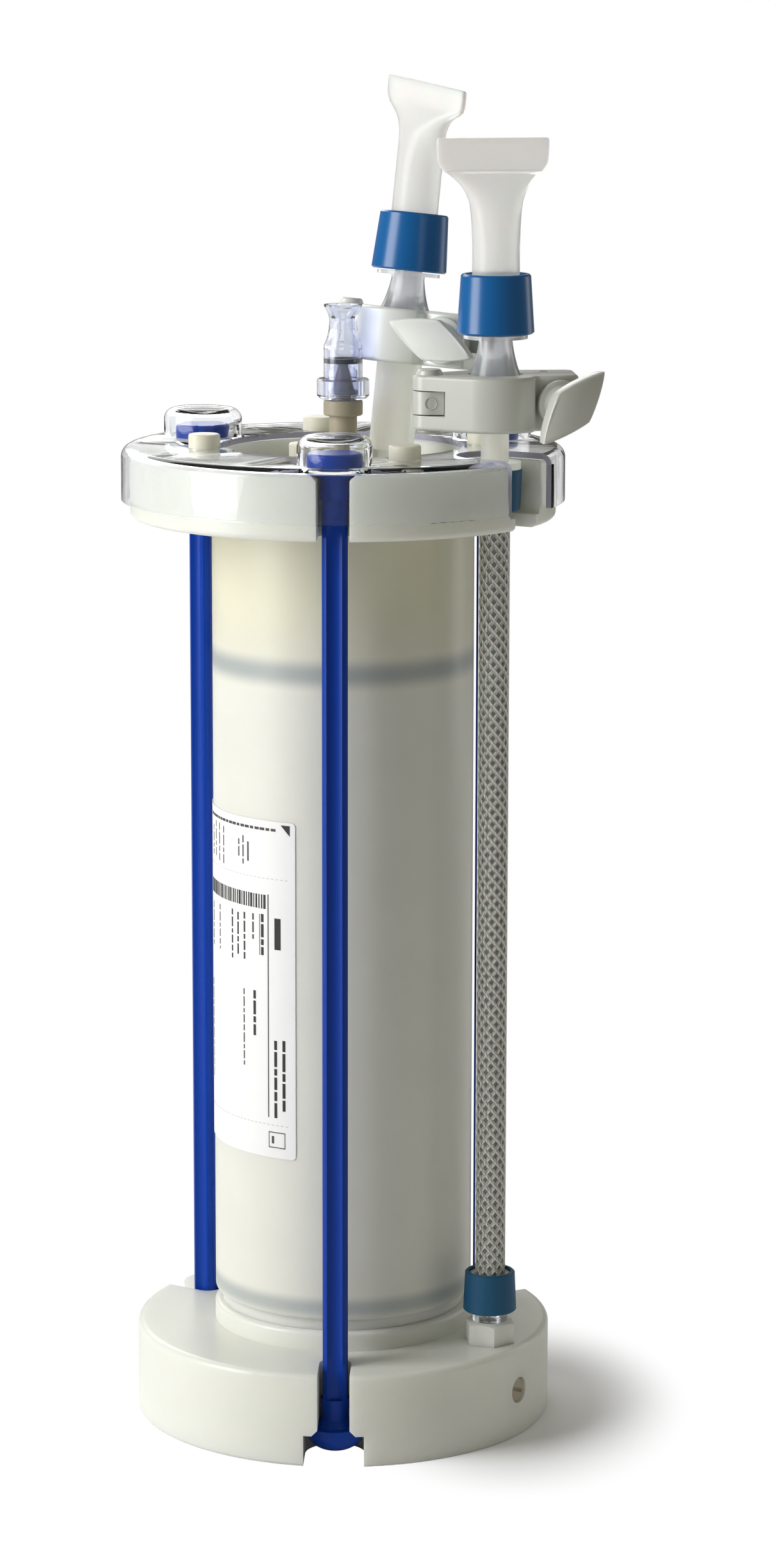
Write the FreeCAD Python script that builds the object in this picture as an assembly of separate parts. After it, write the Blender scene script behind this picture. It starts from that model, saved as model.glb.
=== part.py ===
"""Prepacked chromatography column held between a base and a top ring by tie rods.

Lengths are millimetres and angles are degrees. +Z is up, the origin is the centre of
the base's underside, and the front tie rod stands on the -Y side.
"""
import FreeCAD, Part
import math
import os

Vector = FreeCAD.Vector
UP = Vector(0, 0, 1)
DOWN = Vector(0, 0, -1)

# Column tube and packed bed
TUBE_BORE_R = 40.0
TUBE_WALL = 5.0
BED_LENGTH = 200.0
SCREEN_THICKNESS = 2.0
BED_CLEARANCE = 0.2
PLUG_CLEARANCE = 0.3
O_RING_SECTION_R = 1.75
O_RING_OFFSET = 9.0
GROOVE_DEPTH = 3.0
GROOVE_WIDTH = 3.8

# Base
BASE_MARGIN = 27.4
BASE_HEIGHT = 32.3
BASE_EDGE = 2.0
BASE_FOOT_EDGE = 1.0
COLLAR_HEIGHT = 6.8
COLLAR_STEP = 0.2
COLLAR_EDGE = 1.5
NECK_HEIGHT = 4.1
NECK_R = 42.5
SPIGOT_R = 8.0
SPIGOT_LENGTH = 6.0
CHANNEL_R = 2.5
CHANNEL_Z = 16.5

# Top ring and clear cover
RING_OVERHANG = 0.3
RING_BOTTOM_Z = 316.4
RING_HEIGHT = 22.1
RING_EDGE = 2.0
RING_PLATE = 9.5
BOWL_R = 41.8
FLANGE_INSET = 8.0
FLANGE_CLEARANCE = 0.3
FLANGE_PLATE = 6.0
BOWL_FLOOR_R = 41.5
BOWL_FLOOR_RISE = 2.2
HUB_R = 22.0
HUB_HEIGHT = 3.5
COVER_SHEET = 2.0
COVER_GAP = 0.2
COVER_SKIRT_GAP = 1.1
COVER_SKIRT_DROP = 16.1
COVER_BEND = 3.7
COVER_HOLE_R = 41.0
DOME_WIDTH_R = 12.5
DOME_STRETCH = 1.25
DOME_RISE = 9.4
DOME_EDGE = 4.0
SCREW_INSET = 2.0
SCREW_ANGLES = (-62.0, 8.0, 103.0, 194.0)
SCREW_HEAD_R = 5.4
SCREW_HEAD_HEIGHT = 6.8
SCREW_SHANK_R = 2.5
SCREW_HOLE_CLEARANCE = 0.1
COVER_HOLE_CLEARANCE = 0.4

# Tie rods and the open slots that they slide into
ROD_INSET = 14.4
ROD_ANGLES = {"front": -90.0, "back_right": 30.0, "back_left": 150.0}
ROD_R = 4.95
ROD_NECK_R = 4.8
ROD_CONE_R = 7.3
ROD_TOP_HEAD_R = 9.3
ROD_TOP_HEAD_HEIGHT = 5.9
ROD_FOOT_R = 10.1
ROD_FOOT_RIM = 3.2
ROD_FOOT_DOME = 5.1
FLUTE_COUNT = 4
FLUTE_R = 4.0
FLUTE_DEPTH = 1.75
FLUTE_END_GAP = 7.0
SLOT_WIDTH = 11.0
FOOT_POCKET_WIDTH = 20.7
FOOT_POCKET_HEIGHT = 10.9
SEAT_CLEARANCE = 0.2

# Transfer hose beside the tube
HOSE_INSET = 12.1
HOSE_ANGLE = -30.0
HOSE_R = 5.25
HOSE_BORE_R = 3.2
HEX_ACROSS_FLATS = 15.5
HEX_HEIGHT = 7.9
HEX_TURN = -19.0
HEX_CHAMFER = 1.0
PORT_SPIGOT_R = 4.8
PORT_SPIGOT_LENGTH = 9.0
LOWER_FLANGE_R = 6.1
UPPER_FLANGE_R = 8.8
UPPER_FLANGE_HEIGHT = 2.4
LOWER_FLANGE_HEIGHT = 3.5
HOSE_COLLAR_HEIGHT = 14.0
HOSE_COLLAR_WIDE_R = 9.2
HOSE_COLLAR_NARROW_R = 8.6
HOSE_COLLAR_WALL = 1.4
COLLET_GAP = 0.2
COLLET_DROP = 1.0
BARB_CLEARANCE = 0.1
UPPER_COLLAR_Z = 322.2
HOSE_SLOT_WIDTH = 13.5
HOSE_POCKET_R = 9.6
HOSE_POCKET_GAP = 1.4
COVER_NOTCH_R = 13.0

# Ferrule joints, closed by hinged clamps
FERRULE_R = 12.5
FERRULE_THICKNESS = 2.5
FERRULE_RIM = 1.5
FERRULE_HUB_R = 8.8
GASKET_THICKNESS = 1.0
GASKET_BORE_R = 4.75
CLAMP_HEIGHT = 18.4
CLAMP_R = 17.0
CLAMP_BORE_R = 9.2
CLAMP_GROOVE_GAP = 0.3
CLAMP_SPLIT = 0.8
CLAMP_EDGE = 1.2
CLAMP_CORNER_R = 1.5
CLAMP_SPLIT_TURN = 11.0
HINGE_X = -22.0
HINGE_R = 5.6
KNUCKLE_HEIGHT = 8.0
KNUCKLE_GAP = 0.2
HINGE_PIN_R = 2.0
PIN_HEAD_R = 4.0
PIN_HEAD_TOP = 1.8
PIN_HEAD_BOTTOM = 1.0
PIN_CLEARANCE = 0.05
PIVOT_X = 17.0
PIVOT_Y = 8.5
PIVOT_PIN_R = 1.5
EYE_R = 4.4
EYE_HEIGHT = 6.4
EYE_GAP = 0.3
BOLT_R = 2.5
BOLT_SLOT_GAP = 0.8
SEAT_R = 16.6
NUT_GAP = 0.3
NUT_COLLAR_R = 8.0
NUT_COLLAR_HEIGHT = 2.7
NUT_NECK_R = 6.2
NUT_NECK_FLARE = 0.8
NUT_NECK_HEIGHT = 6.5
NUT_ROOM_START = 13.2
NUT_ROOM_LEAN = 2.4
WING_LENGTH = 31.5
WING_WIDTH = 14.5
WING_THICKNESS = 5.8
WING_CORNER_R = 1.6
NUT_CAP = 2.4
EAR_REACH = 10.5
REAR_DEPTH = 6.8
REAR_CORNER = 2.0

# Clear tubing adapter and the sealed tube end above each clamp
ADAPTER_NECK_R = 5.65
ADAPTER_BORE_R = 3.2
ADAPTER_DISC_R = 10.7
ADAPTER_DISC_THICKNESS = 1.2
SLEEVE_HEIGHT = 19.8
SLEEVE_WIDE_R = 12.9
SLEEVE_NARROW_R = 11.7
SLEEVE_WALL = 1.5
SLEEVE_LIFT = 0.4
TUBING_R = 7.95
TUBING_BORE_R = 4.75
SEAL_WIDTH = 38.0
SEAL_THICKNESS = 3.0

# Outlet above the transfer hose
OUTLET_CLAMP_Z = 358.6
OUTLET_PIPE_R = 4.7
OUTLET_PIPE_BORE_R = 3.0
OUTLET_TURN = 6.0
OUTLET_BOLT_REST = 13.0
OUTLET_NECK = 21.1
OUTLET_WING_TURN = 48.0
OUTLET_TUBING = {"taper": 23.9, "flat": 35.2, "end": 44.7, "turn": 7.0, "skew": 0.0, "shift": -1.3}

# Inlet above the bed, leaning outwards
INLET_CIRCLE_R = 19.7
INLET_ANGLE = 37.9
INLET_LEAN = 6.9
INLET_LEAN_ANGLE = 37.1
INLET_CLAMP_RISE = 42.3
INLET_COLLAR_R = 11.0
INLET_COLLAR_HEIGHT = 3.0
INLET_PIPE_R = 7.7
INLET_PIPE_BORE_R = 4.75
INLET_TURN = -29.0
INLET_BOLT_REST = 13.0
INLET_NECK = 20.6
INLET_WING_TURN = -17.5
INLET_TUBING = {"taper": 27.6, "flat": 35.4, "end": 43.8, "turn": -16.0, "skew": 7.0, "shift": 0.0}

# Vent valve and purge plug on the hub
VENT_SPIGOT_R = 3.0
VENT_SPIGOT_LENGTH = 5.0
VENT_STEM_R = 4.75
VENT_STEM_HEIGHT = 16.1
VENT_COLLAR_R = 6.7
VENT_COLLAR_HEIGHT = 5.3
VENT_EDGE = 0.8
VENT_NOSE_R = 2.6
VENT_NOSE_HEIGHT = 1.8
VENT_BORE_R = 1.3
VALVE_R = 6.6
VALVE_WALL = 1.2
VALVE_BODY_HEIGHT = 15.7
VALVE_WAIST_R = 4.7
VALVE_WAIST_HEIGHT = 7.5
VALVE_RIM_R = 6.5
VALVE_RIM_HEIGHT = 6.5
VALVE_WAIST_BORE_R = 3.0
VALVE_BORE_LENGTH = 4.0
LOCK_RING_R = 8.9
LOCK_RING_HEIGHT = 6.8
LOCK_RING_LIP_R = 3.4
LOCK_RING_FLOOR = 1.4
LOCK_RING_GAP = 0.5
TAB_RISE = 5.5
TAB_THICKNESS = 0.6
TAB_WIDTH = 11.5
STOPPER_TOP_R = 1.5
STOPPER_BASE_R = 3.9
STOPPER_FOOT_R = 5.2
STOPPER_HEIGHT = 9.0
STOPPER_FOOT = 1.2
VENT_SEAL_THICKNESS = 1.7
VENT_SEAL_BORE_R = 3.6
PURGE_CIRCLE_R = 14.0
PURGE_ANGLE = 163.0
PURGE_HEAD_R = 5.4
PURGE_HEAD_HEIGHT = 6.2
PURGE_SHANK_R = 2.5
PURGE_DEPTH = 6.0

# Side plug of the drilled outlet channel
PLUG_HEAD_R = 4.4
PLUG_HEAD_HEIGHT = 2.2
PLUG_SHANK_R = 3.4
PLUG_LENGTH = 8.0
PLUG_SLOT_WIDTH = 1.3
PLUG_SLOT_DEPTH = 1.0
PLUG_SLOT_TURN = 68.0
PLUG_SEAL_THICKNESS = 0.8
PLUG_SEAL_BORE_R = 3.5
PLUG_SINK = 0.6

# Label on the tube
LABEL_FROM = 149.0
LABEL_TO = 251.7
LABEL_BOTTOM_Z = 99.5
LABEL_HEIGHT = 117.5
LABEL_THICKNESS = 0.2
LABEL_GAP = 0.1
LABEL_CORNER_R = 1.5

# Radii and heights that follow from the sizes above
TUBE_R = TUBE_BORE_R + TUBE_WALL
COLLAR_R = TUBE_R + COLLAR_STEP
BASE_R = TUBE_R + BASE_MARGIN
RING_R = BASE_R + RING_OVERHANG
ROD_CIRCLE_R = BASE_R - ROD_INSET
HOSE_CIRCLE_R = BASE_R - HOSE_INSET
FLANGE_R = ROD_CIRCLE_R - FLANGE_INSET
SCREW_CIRCLE_R = FLANGE_R - SCREW_INSET
COLLAR_TOP_Z = BASE_HEIGHT + COLLAR_HEIGHT
TUBE_BOTTOM_Z = COLLAR_TOP_Z + NECK_HEIGHT
PLUG_R = TUBE_BORE_R - PLUG_CLEARANCE
BOTTOM_O_RING_Z = TUBE_BOTTOM_Z + 2.8
BOTTOM_PLUG_TOP_Z = BOTTOM_O_RING_Z + O_RING_OFFSET
BED_BOTTOM_Z = BOTTOM_PLUG_TOP_Z + SCREEN_THICKNESS
BED_TOP_Z = BED_BOTTOM_Z + BED_LENGTH
TOP_PLUG_BOTTOM_Z = BED_TOP_Z + SCREEN_THICKNESS
TOP_O_RING_Z = TOP_PLUG_BOTTOM_Z + O_RING_OFFSET
RING_TOP_Z = RING_BOTTOM_Z + RING_HEIGHT
PLATE_BOTTOM_Z = RING_TOP_Z - RING_PLATE
FLANGE_TOP_Z = PLATE_BOTTOM_Z - COVER_GAP
TUBE_TOP_Z = FLANGE_TOP_Z - FLANGE_PLATE
BOWL_FLOOR_Z = FLANGE_TOP_Z + BOWL_FLOOR_RISE
HUB_TOP_Z = BOWL_FLOOR_Z + HUB_HEIGHT
COVER_R = RING_R + COVER_SKIRT_GAP + COVER_SHEET
COVER_UNDER_Z = RING_TOP_Z + COVER_GAP
COVER_TOP_Z = COVER_UNDER_Z + COVER_SHEET
COVER_SKIRT_Z = RING_TOP_Z - COVER_SKIRT_DROP
BARB_R = HOSE_BORE_R - BARB_CLEARANCE
LOWER_COLLAR_Z = BASE_HEIGHT + HEX_HEIGHT + LOWER_FLANGE_HEIGHT
UPPER_FLANGE_Z = UPPER_COLLAR_Z + HOSE_COLLAR_HEIGHT
CLAMP_HALF = CLAMP_HEIGHT / 2
VALVE_BOTTOM_Z = HUB_TOP_Z + VENT_STEM_HEIGHT + VENT_COLLAR_HEIGHT + LOCK_RING_GAP


def polar(radius, angle, z=0.0):
    turn = math.radians(angle)
    return Vector(radius * math.cos(turn), radius * math.sin(turn), z)


def outline(points):
    """Closed wire in the XZ plane; a step of four numbers is an arc through its first pair."""
    edges = []
    here = Vector(points[0][0], 0, points[0][1])
    for step in points[1:] + points[:1]:
        there = Vector(step[-2], 0, step[-1])
        if (there - here).Length < 1e-6:
            continue
        if len(step) == 4:
            middle = Vector(step[0], 0, step[1])
            edges.append(Part.Arc(here, middle, there).toShape())
        else:
            edges.append(Part.makeLine(here, there))
        here = there
    return Part.Wire(edges)


def turned(points):
    """Solid of revolution about Z from an outline of (radius, height) steps."""
    return Part.Face(outline(points)).revolve(Vector(), UP, 360)


def rounded(radius, z, corner, outward, upward):
    """Arc step that ends a corner: from a wall to a face, or from a face to a wall."""
    bend = corner * (1 - math.sqrt(0.5))
    return (radius - bend * outward, z - bend * upward)


def cylinder(radius, height, base=Vector(), direction=UP):
    return Part.makeCylinder(radius, height, base, direction)


def ring(outer, inner, height, z=0.0):
    return cylinder(outer, height, Vector(0, 0, z)).cut(cylinder(inner, height, Vector(0, 0, z)))


def block(x0, x1, y0, y1, z0, z1):
    return Part.makeBox(x1 - x0, y1 - y0, z1 - z0, Vector(x0, y0, z0))


def at_angle(shape, angle):
    turned_shape = shape.copy()
    turned_shape.rotate(Vector(), UP, angle)
    return turned_shape


def moved(shape, offset):
    copy = shape.copy()
    copy.translate(offset)
    return copy


def radial_slot(width, centre_r, z0, z1, reach):
    """Slot along +X with a round inner end about centre_r, open at the rim."""
    end = cylinder(width / 2, z1 - z0, Vector(centre_r, 0, z0))
    return end.fuse(block(centre_r, reach, -width / 2, width / 2, z0, z1))


def seat_flare(centre_r, z_wide, z_narrow, reach):
    """Cone seat along a slot: as wide as the rod's cone at z_wide, the slot at z_narrow."""
    wide = ROD_CONE_R + SEAT_CLEARANCE
    narrow = SLOT_WIDTH / 2
    low, high = sorted((z_wide, z_narrow))
    low_r, high_r = (wide, narrow) if z_wide < z_narrow else (narrow, wide)
    cone = Part.makeCone(low_r, high_r, high - low, Vector(centre_r, 0, low))
    section = Part.makePolygon([Vector(centre_r, -low_r, low), Vector(centre_r, low_r, low),
                                Vector(centre_r, high_r, high), Vector(centre_r, -high_r, high),
                                Vector(centre_r, -low_r, low)])
    trough = Part.Face(section).extrude(Vector(reach - centre_r, 0, 0))
    return cone.fuse(trough)


def base_lid():
    e, f, c = BASE_EDGE, BASE_FOOT_EDGE, COLLAR_EDGE
    body = turned([
        (0, 0), (BASE_R - f, 0), rounded(BASE_R, 0, f, 1, -1) + (BASE_R, f),
        (BASE_R, BASE_HEIGHT - e), rounded(BASE_R, BASE_HEIGHT, e, 1, 1) + (BASE_R - e, BASE_HEIGHT),
        (COLLAR_R, BASE_HEIGHT), (COLLAR_R, COLLAR_TOP_Z - c),
        rounded(COLLAR_R, COLLAR_TOP_Z, c, 1, 1) + (COLLAR_R - c, COLLAR_TOP_Z), (0, COLLAR_TOP_Z)])
    reach = BASE_R + 5
    for angle in ROD_ANGLES.values():
        slot = radial_slot(SLOT_WIDTH, ROD_CIRCLE_R, 0, BASE_HEIGHT + 1, reach)
        pocket = radial_slot(FOOT_POCKET_WIDTH, ROD_CIRCLE_R, -1, FOOT_POCKET_HEIGHT, reach)
        rise = ROD_CONE_R + SEAT_CLEARANCE - SLOT_WIDTH / 2
        flare = seat_flare(ROD_CIRCLE_R, FOOT_POCKET_HEIGHT, FOOT_POCKET_HEIGHT + rise, reach)
        body = body.cut(at_angle(slot.fuse([pocket, flare]), angle))
    socket = cylinder(SPIGOT_R, SPIGOT_LENGTH, Vector(0, 0, COLLAR_TOP_Z - SPIGOT_LENGTH))
    well = cylinder(CHANNEL_R, COLLAR_TOP_Z - CHANNEL_Z, Vector(0, 0, CHANNEL_Z))
    along = polar(1, HOSE_ANGLE)
    channel = cylinder(CHANNEL_R, reach, Vector(0, 0, CHANNEL_Z), along)
    plug_bottom = BASE_R - PLUG_SINK - PLUG_HEAD_HEIGHT - PLUG_SEAL_THICKNESS
    thread = cylinder(PLUG_SHANK_R, reach, along * (plug_bottom - PLUG_LENGTH) + UP * CHANNEL_Z, along)
    recess = cylinder(PLUG_HEAD_R + SEAT_CLEARANCE, reach, along * plug_bottom + UP * CHANNEL_Z, along)
    port_at = polar(HOSE_CIRCLE_R, HOSE_ANGLE)
    riser = cylinder(CHANNEL_R, BASE_HEIGHT, port_at + UP * CHANNEL_Z)
    port = cylinder(PORT_SPIGOT_R, BASE_HEIGHT, port_at + UP * (BASE_HEIGHT - PORT_SPIGOT_LENGTH))
    return body.cut([socket, well, channel, thread, recess, riser, port])


def channel_plug():
    along = polar(1, HOSE_ANGLE)
    head_bottom = BASE_R - PLUG_SINK - PLUG_HEAD_HEIGHT
    shank_bottom = head_bottom - PLUG_SEAL_THICKNESS - PLUG_LENGTH
    shank_length = PLUG_LENGTH + PLUG_SEAL_THICKNESS
    port_edge = HOSE_CIRCLE_R + CHANNEL_R
    shank_start = max(shank_bottom, port_edge)
    plug = turned([(0, head_bottom + PLUG_HEAD_HEIGHT), (0, shank_start), (PLUG_SHANK_R, shank_start),
                   (PLUG_SHANK_R, shank_bottom + shank_length), (PLUG_HEAD_R, head_bottom),
                   (PLUG_HEAD_R, head_bottom + PLUG_HEAD_HEIGHT - PLUG_SINK),
                   (PLUG_HEAD_R - PLUG_SINK, head_bottom + PLUG_HEAD_HEIGHT)])
    top = head_bottom + PLUG_HEAD_HEIGHT
    slot = block(-PLUG_HEAD_R, PLUG_HEAD_R, -PLUG_SLOT_WIDTH / 2, PLUG_SLOT_WIDTH / 2,
                 top - PLUG_SLOT_DEPTH, top + 1)
    plug = plug.cut(at_angle(slot, 90 + PLUG_SLOT_TURN))
    return laid_along(plug, along)


def plug_seal():
    along = polar(1, HOSE_ANGLE)
    seat = BASE_R - PLUG_SINK - PLUG_HEAD_HEIGHT - PLUG_SEAL_THICKNESS
    return laid_along(ring(PLUG_HEAD_R, PLUG_SEAL_BORE_R, PLUG_SEAL_THICKNESS, seat), along)


def laid_along(shape, along):
    """Turn a piece made about Z so that its axis runs outwards at the channel's height."""
    turn = FreeCAD.Rotation(UP.cross(along), UP, along, "ZYX")
    shape = shape.copy()
    shape.Placement = FreeCAD.Placement(Vector(0, 0, CHANNEL_Z), turn)
    return shape


def o_ring_groove(z):
    return ring(TUBE_BORE_R + 1, TUBE_BORE_R - GROOVE_DEPTH, GROOVE_WIDTH, z - GROOVE_WIDTH / 2)


def o_ring(z):
    centre_r = TUBE_BORE_R - GROOVE_DEPTH + O_RING_SECTION_R - 0.25
    return Part.makeTorus(centre_r, O_RING_SECTION_R - 0.25, Vector(0, 0, z), UP)


def bottom_adapter():
    recess_r = TUBE_BORE_R - GROOVE_DEPTH - 2
    body = turned([
        (CHANNEL_R, COLLAR_TOP_Z - SPIGOT_LENGTH), (SPIGOT_R, COLLAR_TOP_Z - SPIGOT_LENGTH),
        (SPIGOT_R, COLLAR_TOP_Z), (NECK_R, COLLAR_TOP_Z), (NECK_R, TUBE_BOTTOM_Z),
        (PLUG_R, TUBE_BOTTOM_Z), (PLUG_R, BOTTOM_PLUG_TOP_Z), (recess_r, BOTTOM_PLUG_TOP_Z),
        (CHANNEL_R, BOTTOM_PLUG_TOP_Z - SCREEN_THICKNESS)])
    return body.cut(o_ring_groove(BOTTOM_O_RING_Z))


def support_screen(z):
    return cylinder(PLUG_R, SCREEN_THICKNESS, Vector(0, 0, z))


def resin_bed():
    return cylinder(TUBE_BORE_R - BED_CLEARANCE, BED_LENGTH, Vector(0, 0, BED_BOTTOM_Z))


def column_tube():
    c = COLLAR_EDGE
    return turned([
        (TUBE_BORE_R, TUBE_BOTTOM_Z), (TUBE_R - c, TUBE_BOTTOM_Z),
        rounded(TUBE_R, TUBE_BOTTOM_Z, c, 1, -1) + (TUBE_R, TUBE_BOTTOM_Z + c),
        (TUBE_R, TUBE_TOP_Z), (TUBE_BORE_R, TUBE_TOP_Z)])


def inlet_axis():
    outward = polar(math.sin(math.radians(INLET_LEAN)), INLET_LEAN_ANGLE)
    return outward + UP * math.cos(math.radians(INLET_LEAN))


def inlet_foot():
    return polar(INLET_CIRCLE_R, INLET_ANGLE, HUB_TOP_Z)


def top_adapter():
    recess_r = TUBE_BORE_R - GROOVE_DEPTH - 2
    skirt_bottom = RING_BOTTOM_Z + BASE_FOOT_EDGE
    skirt_r = TUBE_R + FLANGE_CLEARANCE
    body = turned([
        (0, TOP_PLUG_BOTTOM_Z + SCREEN_THICKNESS), (recess_r, TOP_PLUG_BOTTOM_Z),
        (PLUG_R, TOP_PLUG_BOTTOM_Z), (PLUG_R, TUBE_TOP_Z), (skirt_r, TUBE_TOP_Z),
        (skirt_r, skirt_bottom), (FLANGE_R, skirt_bottom), (FLANGE_R, FLANGE_TOP_Z),
        (BOWL_FLOOR_R, FLANGE_TOP_Z), (BOWL_FLOOR_R, BOWL_FLOOR_Z),
        (HUB_R, BOWL_FLOOR_Z), (HUB_R, HUB_TOP_Z - COLLAR_EDGE),
        rounded(HUB_R, HUB_TOP_Z, COLLAR_EDGE, 1, 1) + (HUB_R - COLLAR_EDGE, HUB_TOP_Z), (0, HUB_TOP_Z)])
    foot = polar(INLET_CIRCLE_R, INLET_ANGLE, BOWL_FLOOR_Z)
    boss = cylinder(INLET_COLLAR_R, HUB_HEIGHT, foot)
    lean_collar = cylinder(INLET_COLLAR_R - BASE_FOOT_EDGE, INLET_COLLAR_HEIGHT + HUB_HEIGHT / 2,
                           inlet_foot() - inlet_axis() * (HUB_HEIGHT / 2), inlet_axis())
    body = body.fuse([boss, lean_collar]).cut(o_ring_groove(TOP_O_RING_Z))
    lower = inlet_foot() - inlet_axis() * HUB_HEIGHT
    pipe_socket = cylinder(INLET_PIPE_R, 2 * CLAMP_HEIGHT, lower, inlet_axis())
    flow = cylinder(INLET_PIPE_BORE_R, TUBE_TOP_Z, inlet_foot() - UP * (HUB_HEIGHT + 1), DOWN)
    vent_thread = cylinder(VENT_SPIGOT_R, VENT_SPIGOT_LENGTH, Vector(0, 0, HUB_TOP_Z - VENT_SPIGOT_LENGTH))
    vent_bore = cylinder(VENT_BORE_R, TUBE_TOP_Z, Vector(0, 0, HUB_TOP_Z), DOWN)
    purge_at = polar(PURGE_CIRCLE_R, PURGE_ANGLE, HUB_TOP_Z)
    purge_thread = cylinder(PURGE_SHANK_R, PURGE_DEPTH, purge_at, DOWN)
    return body.cut([pipe_socket, flow, vent_thread, vent_bore, purge_thread])


def top_ring():
    e = RING_EDGE
    body = turned([
        (FLANGE_R + FLANGE_CLEARANCE, RING_BOTTOM_Z), (RING_R - e, RING_BOTTOM_Z),
        rounded(RING_R, RING_BOTTOM_Z, e, 1, -1) + (RING_R, RING_BOTTOM_Z + e),
        (RING_R, RING_TOP_Z - 1), (RING_R - 1, RING_TOP_Z), (BOWL_R, RING_TOP_Z),
        (BOWL_R, PLATE_BOTTOM_Z), (FLANGE_R + FLANGE_CLEARANCE, PLATE_BOTTOM_Z)])
    reach = RING_R + 5
    rise = ROD_CONE_R + SEAT_CLEARANCE - SLOT_WIDTH / 2
    for angle in ROD_ANGLES.values():
        slot = radial_slot(SLOT_WIDTH, ROD_CIRCLE_R, RING_BOTTOM_Z - 1, RING_TOP_Z + 1, reach)
        flare = seat_flare(ROD_CIRCLE_R, RING_TOP_Z, RING_TOP_Z - rise, reach)
        body = body.cut(at_angle(slot.fuse(flare), angle))
    hose_slot = radial_slot(HOSE_SLOT_WIDTH, HOSE_CIRCLE_R, RING_BOTTOM_Z - 1, RING_TOP_Z + 1, reach)
    pocket_z = UPPER_COLLAR_Z - HOSE_POCKET_GAP
    pocket = radial_slot(2 * HOSE_POCKET_R, HOSE_CIRCLE_R, pocket_z, RING_TOP_Z + 1, reach)
    body = body.cut(at_angle(hose_slot.fuse(pocket), HOSE_ANGLE))
    holes = [cylinder(SCREW_SHANK_R + SCREW_HOLE_CLEARANCE, RING_PLATE + 2,
                      polar(SCREW_CIRCLE_R, angle, PLATE_BOTTOM_Z - 1)) for angle in SCREW_ANGLES]
    return body.cut(holes)


def headed_screw(head_r, head_height, shank_r, shank_length, edge):
    """Screw standing on z = 0, with its shank below."""
    return turned([
        (0, head_height), (0, -shank_length), (shank_r, -shank_length), (shank_r, 0), (head_r, 0),
        (head_r, head_height - edge),
        rounded(head_r, head_height, edge, 1, 1) + (head_r - edge, head_height)])


def ring_screws():
    screw = headed_screw(SCREW_HEAD_R, SCREW_HEAD_HEIGHT, SCREW_SHANK_R, RING_TOP_Z - FLANGE_TOP_Z, VENT_EDGE)
    return Part.makeCompound([moved(screw, polar(SCREW_CIRCLE_R, angle, RING_TOP_Z))
                              for angle in SCREW_ANGLES])


def purge_plug():
    plug = headed_screw(PURGE_HEAD_R, PURGE_HEAD_HEIGHT, PURGE_SHANK_R, PURGE_DEPTH, VENT_EDGE)
    return moved(plug, polar(PURGE_CIRCLE_R, PURGE_ANGLE, HUB_TOP_Z))


def dome(inset, z0, z1):
    """Oblong raised cup over a rod head, lying along +X at the rod circle."""
    radius = DOME_WIDTH_R - inset
    low, high = ROD_CIRCLE_R - DOME_STRETCH, ROD_CIRCLE_R + DOME_STRETCH
    cup = block(low, high, -radius, radius, z0, z1)
    for x in (low, high):
        cup = cup.fuse(cylinder(radius, z1 - z0, Vector(x, 0, z0)))
    cup = cup.removeSplitter()
    top_edges = [edge for edge in cup.Edges if min(v.Z for v in edge.Vertexes) > z1 - 1e-3]
    return cup.makeFillet(DOME_EDGE - inset, top_edges)


def clear_cover():
    t, b = COVER_SHEET, COVER_BEND
    top, under, low = COVER_TOP_Z, COVER_UNDER_Z, COVER_SKIRT_Z
    inner_bend = b - t
    body = turned([
        (COVER_HOLE_R, top), (COVER_R - b, top), rounded(COVER_R, top, b, 1, 1) + (COVER_R, top - b),
        (COVER_R, low), (COVER_R - t, low), (COVER_R - t, under - inner_bend),
        rounded(COVER_R - t, under, inner_bend, 1, 1) + (COVER_R - b, under), (COVER_HOLE_R, under)])
    peak = COVER_TOP_Z + DOME_RISE
    outer = dome(0, under, peak)
    inner = dome(t, under - 1, peak - t)
    for angle in ROD_ANGLES.values():
        body = body.fuse(at_angle(outer, angle))
    for angle in ROD_ANGLES.values():
        body = body.cut(at_angle(inner, angle))
    notch = radial_slot(2 * COVER_NOTCH_R, HOSE_CIRCLE_R, low - 1, top + 1, COVER_R + 5)
    holes = [cylinder(SCREW_HEAD_R + COVER_HOLE_CLEARANCE, 3 * t, polar(SCREW_CIRCLE_R, angle, under - t))
             for angle in SCREW_ANGLES]
    return body.cut([at_angle(notch, HOSE_ANGLE)] + holes).removeSplitter()


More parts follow.
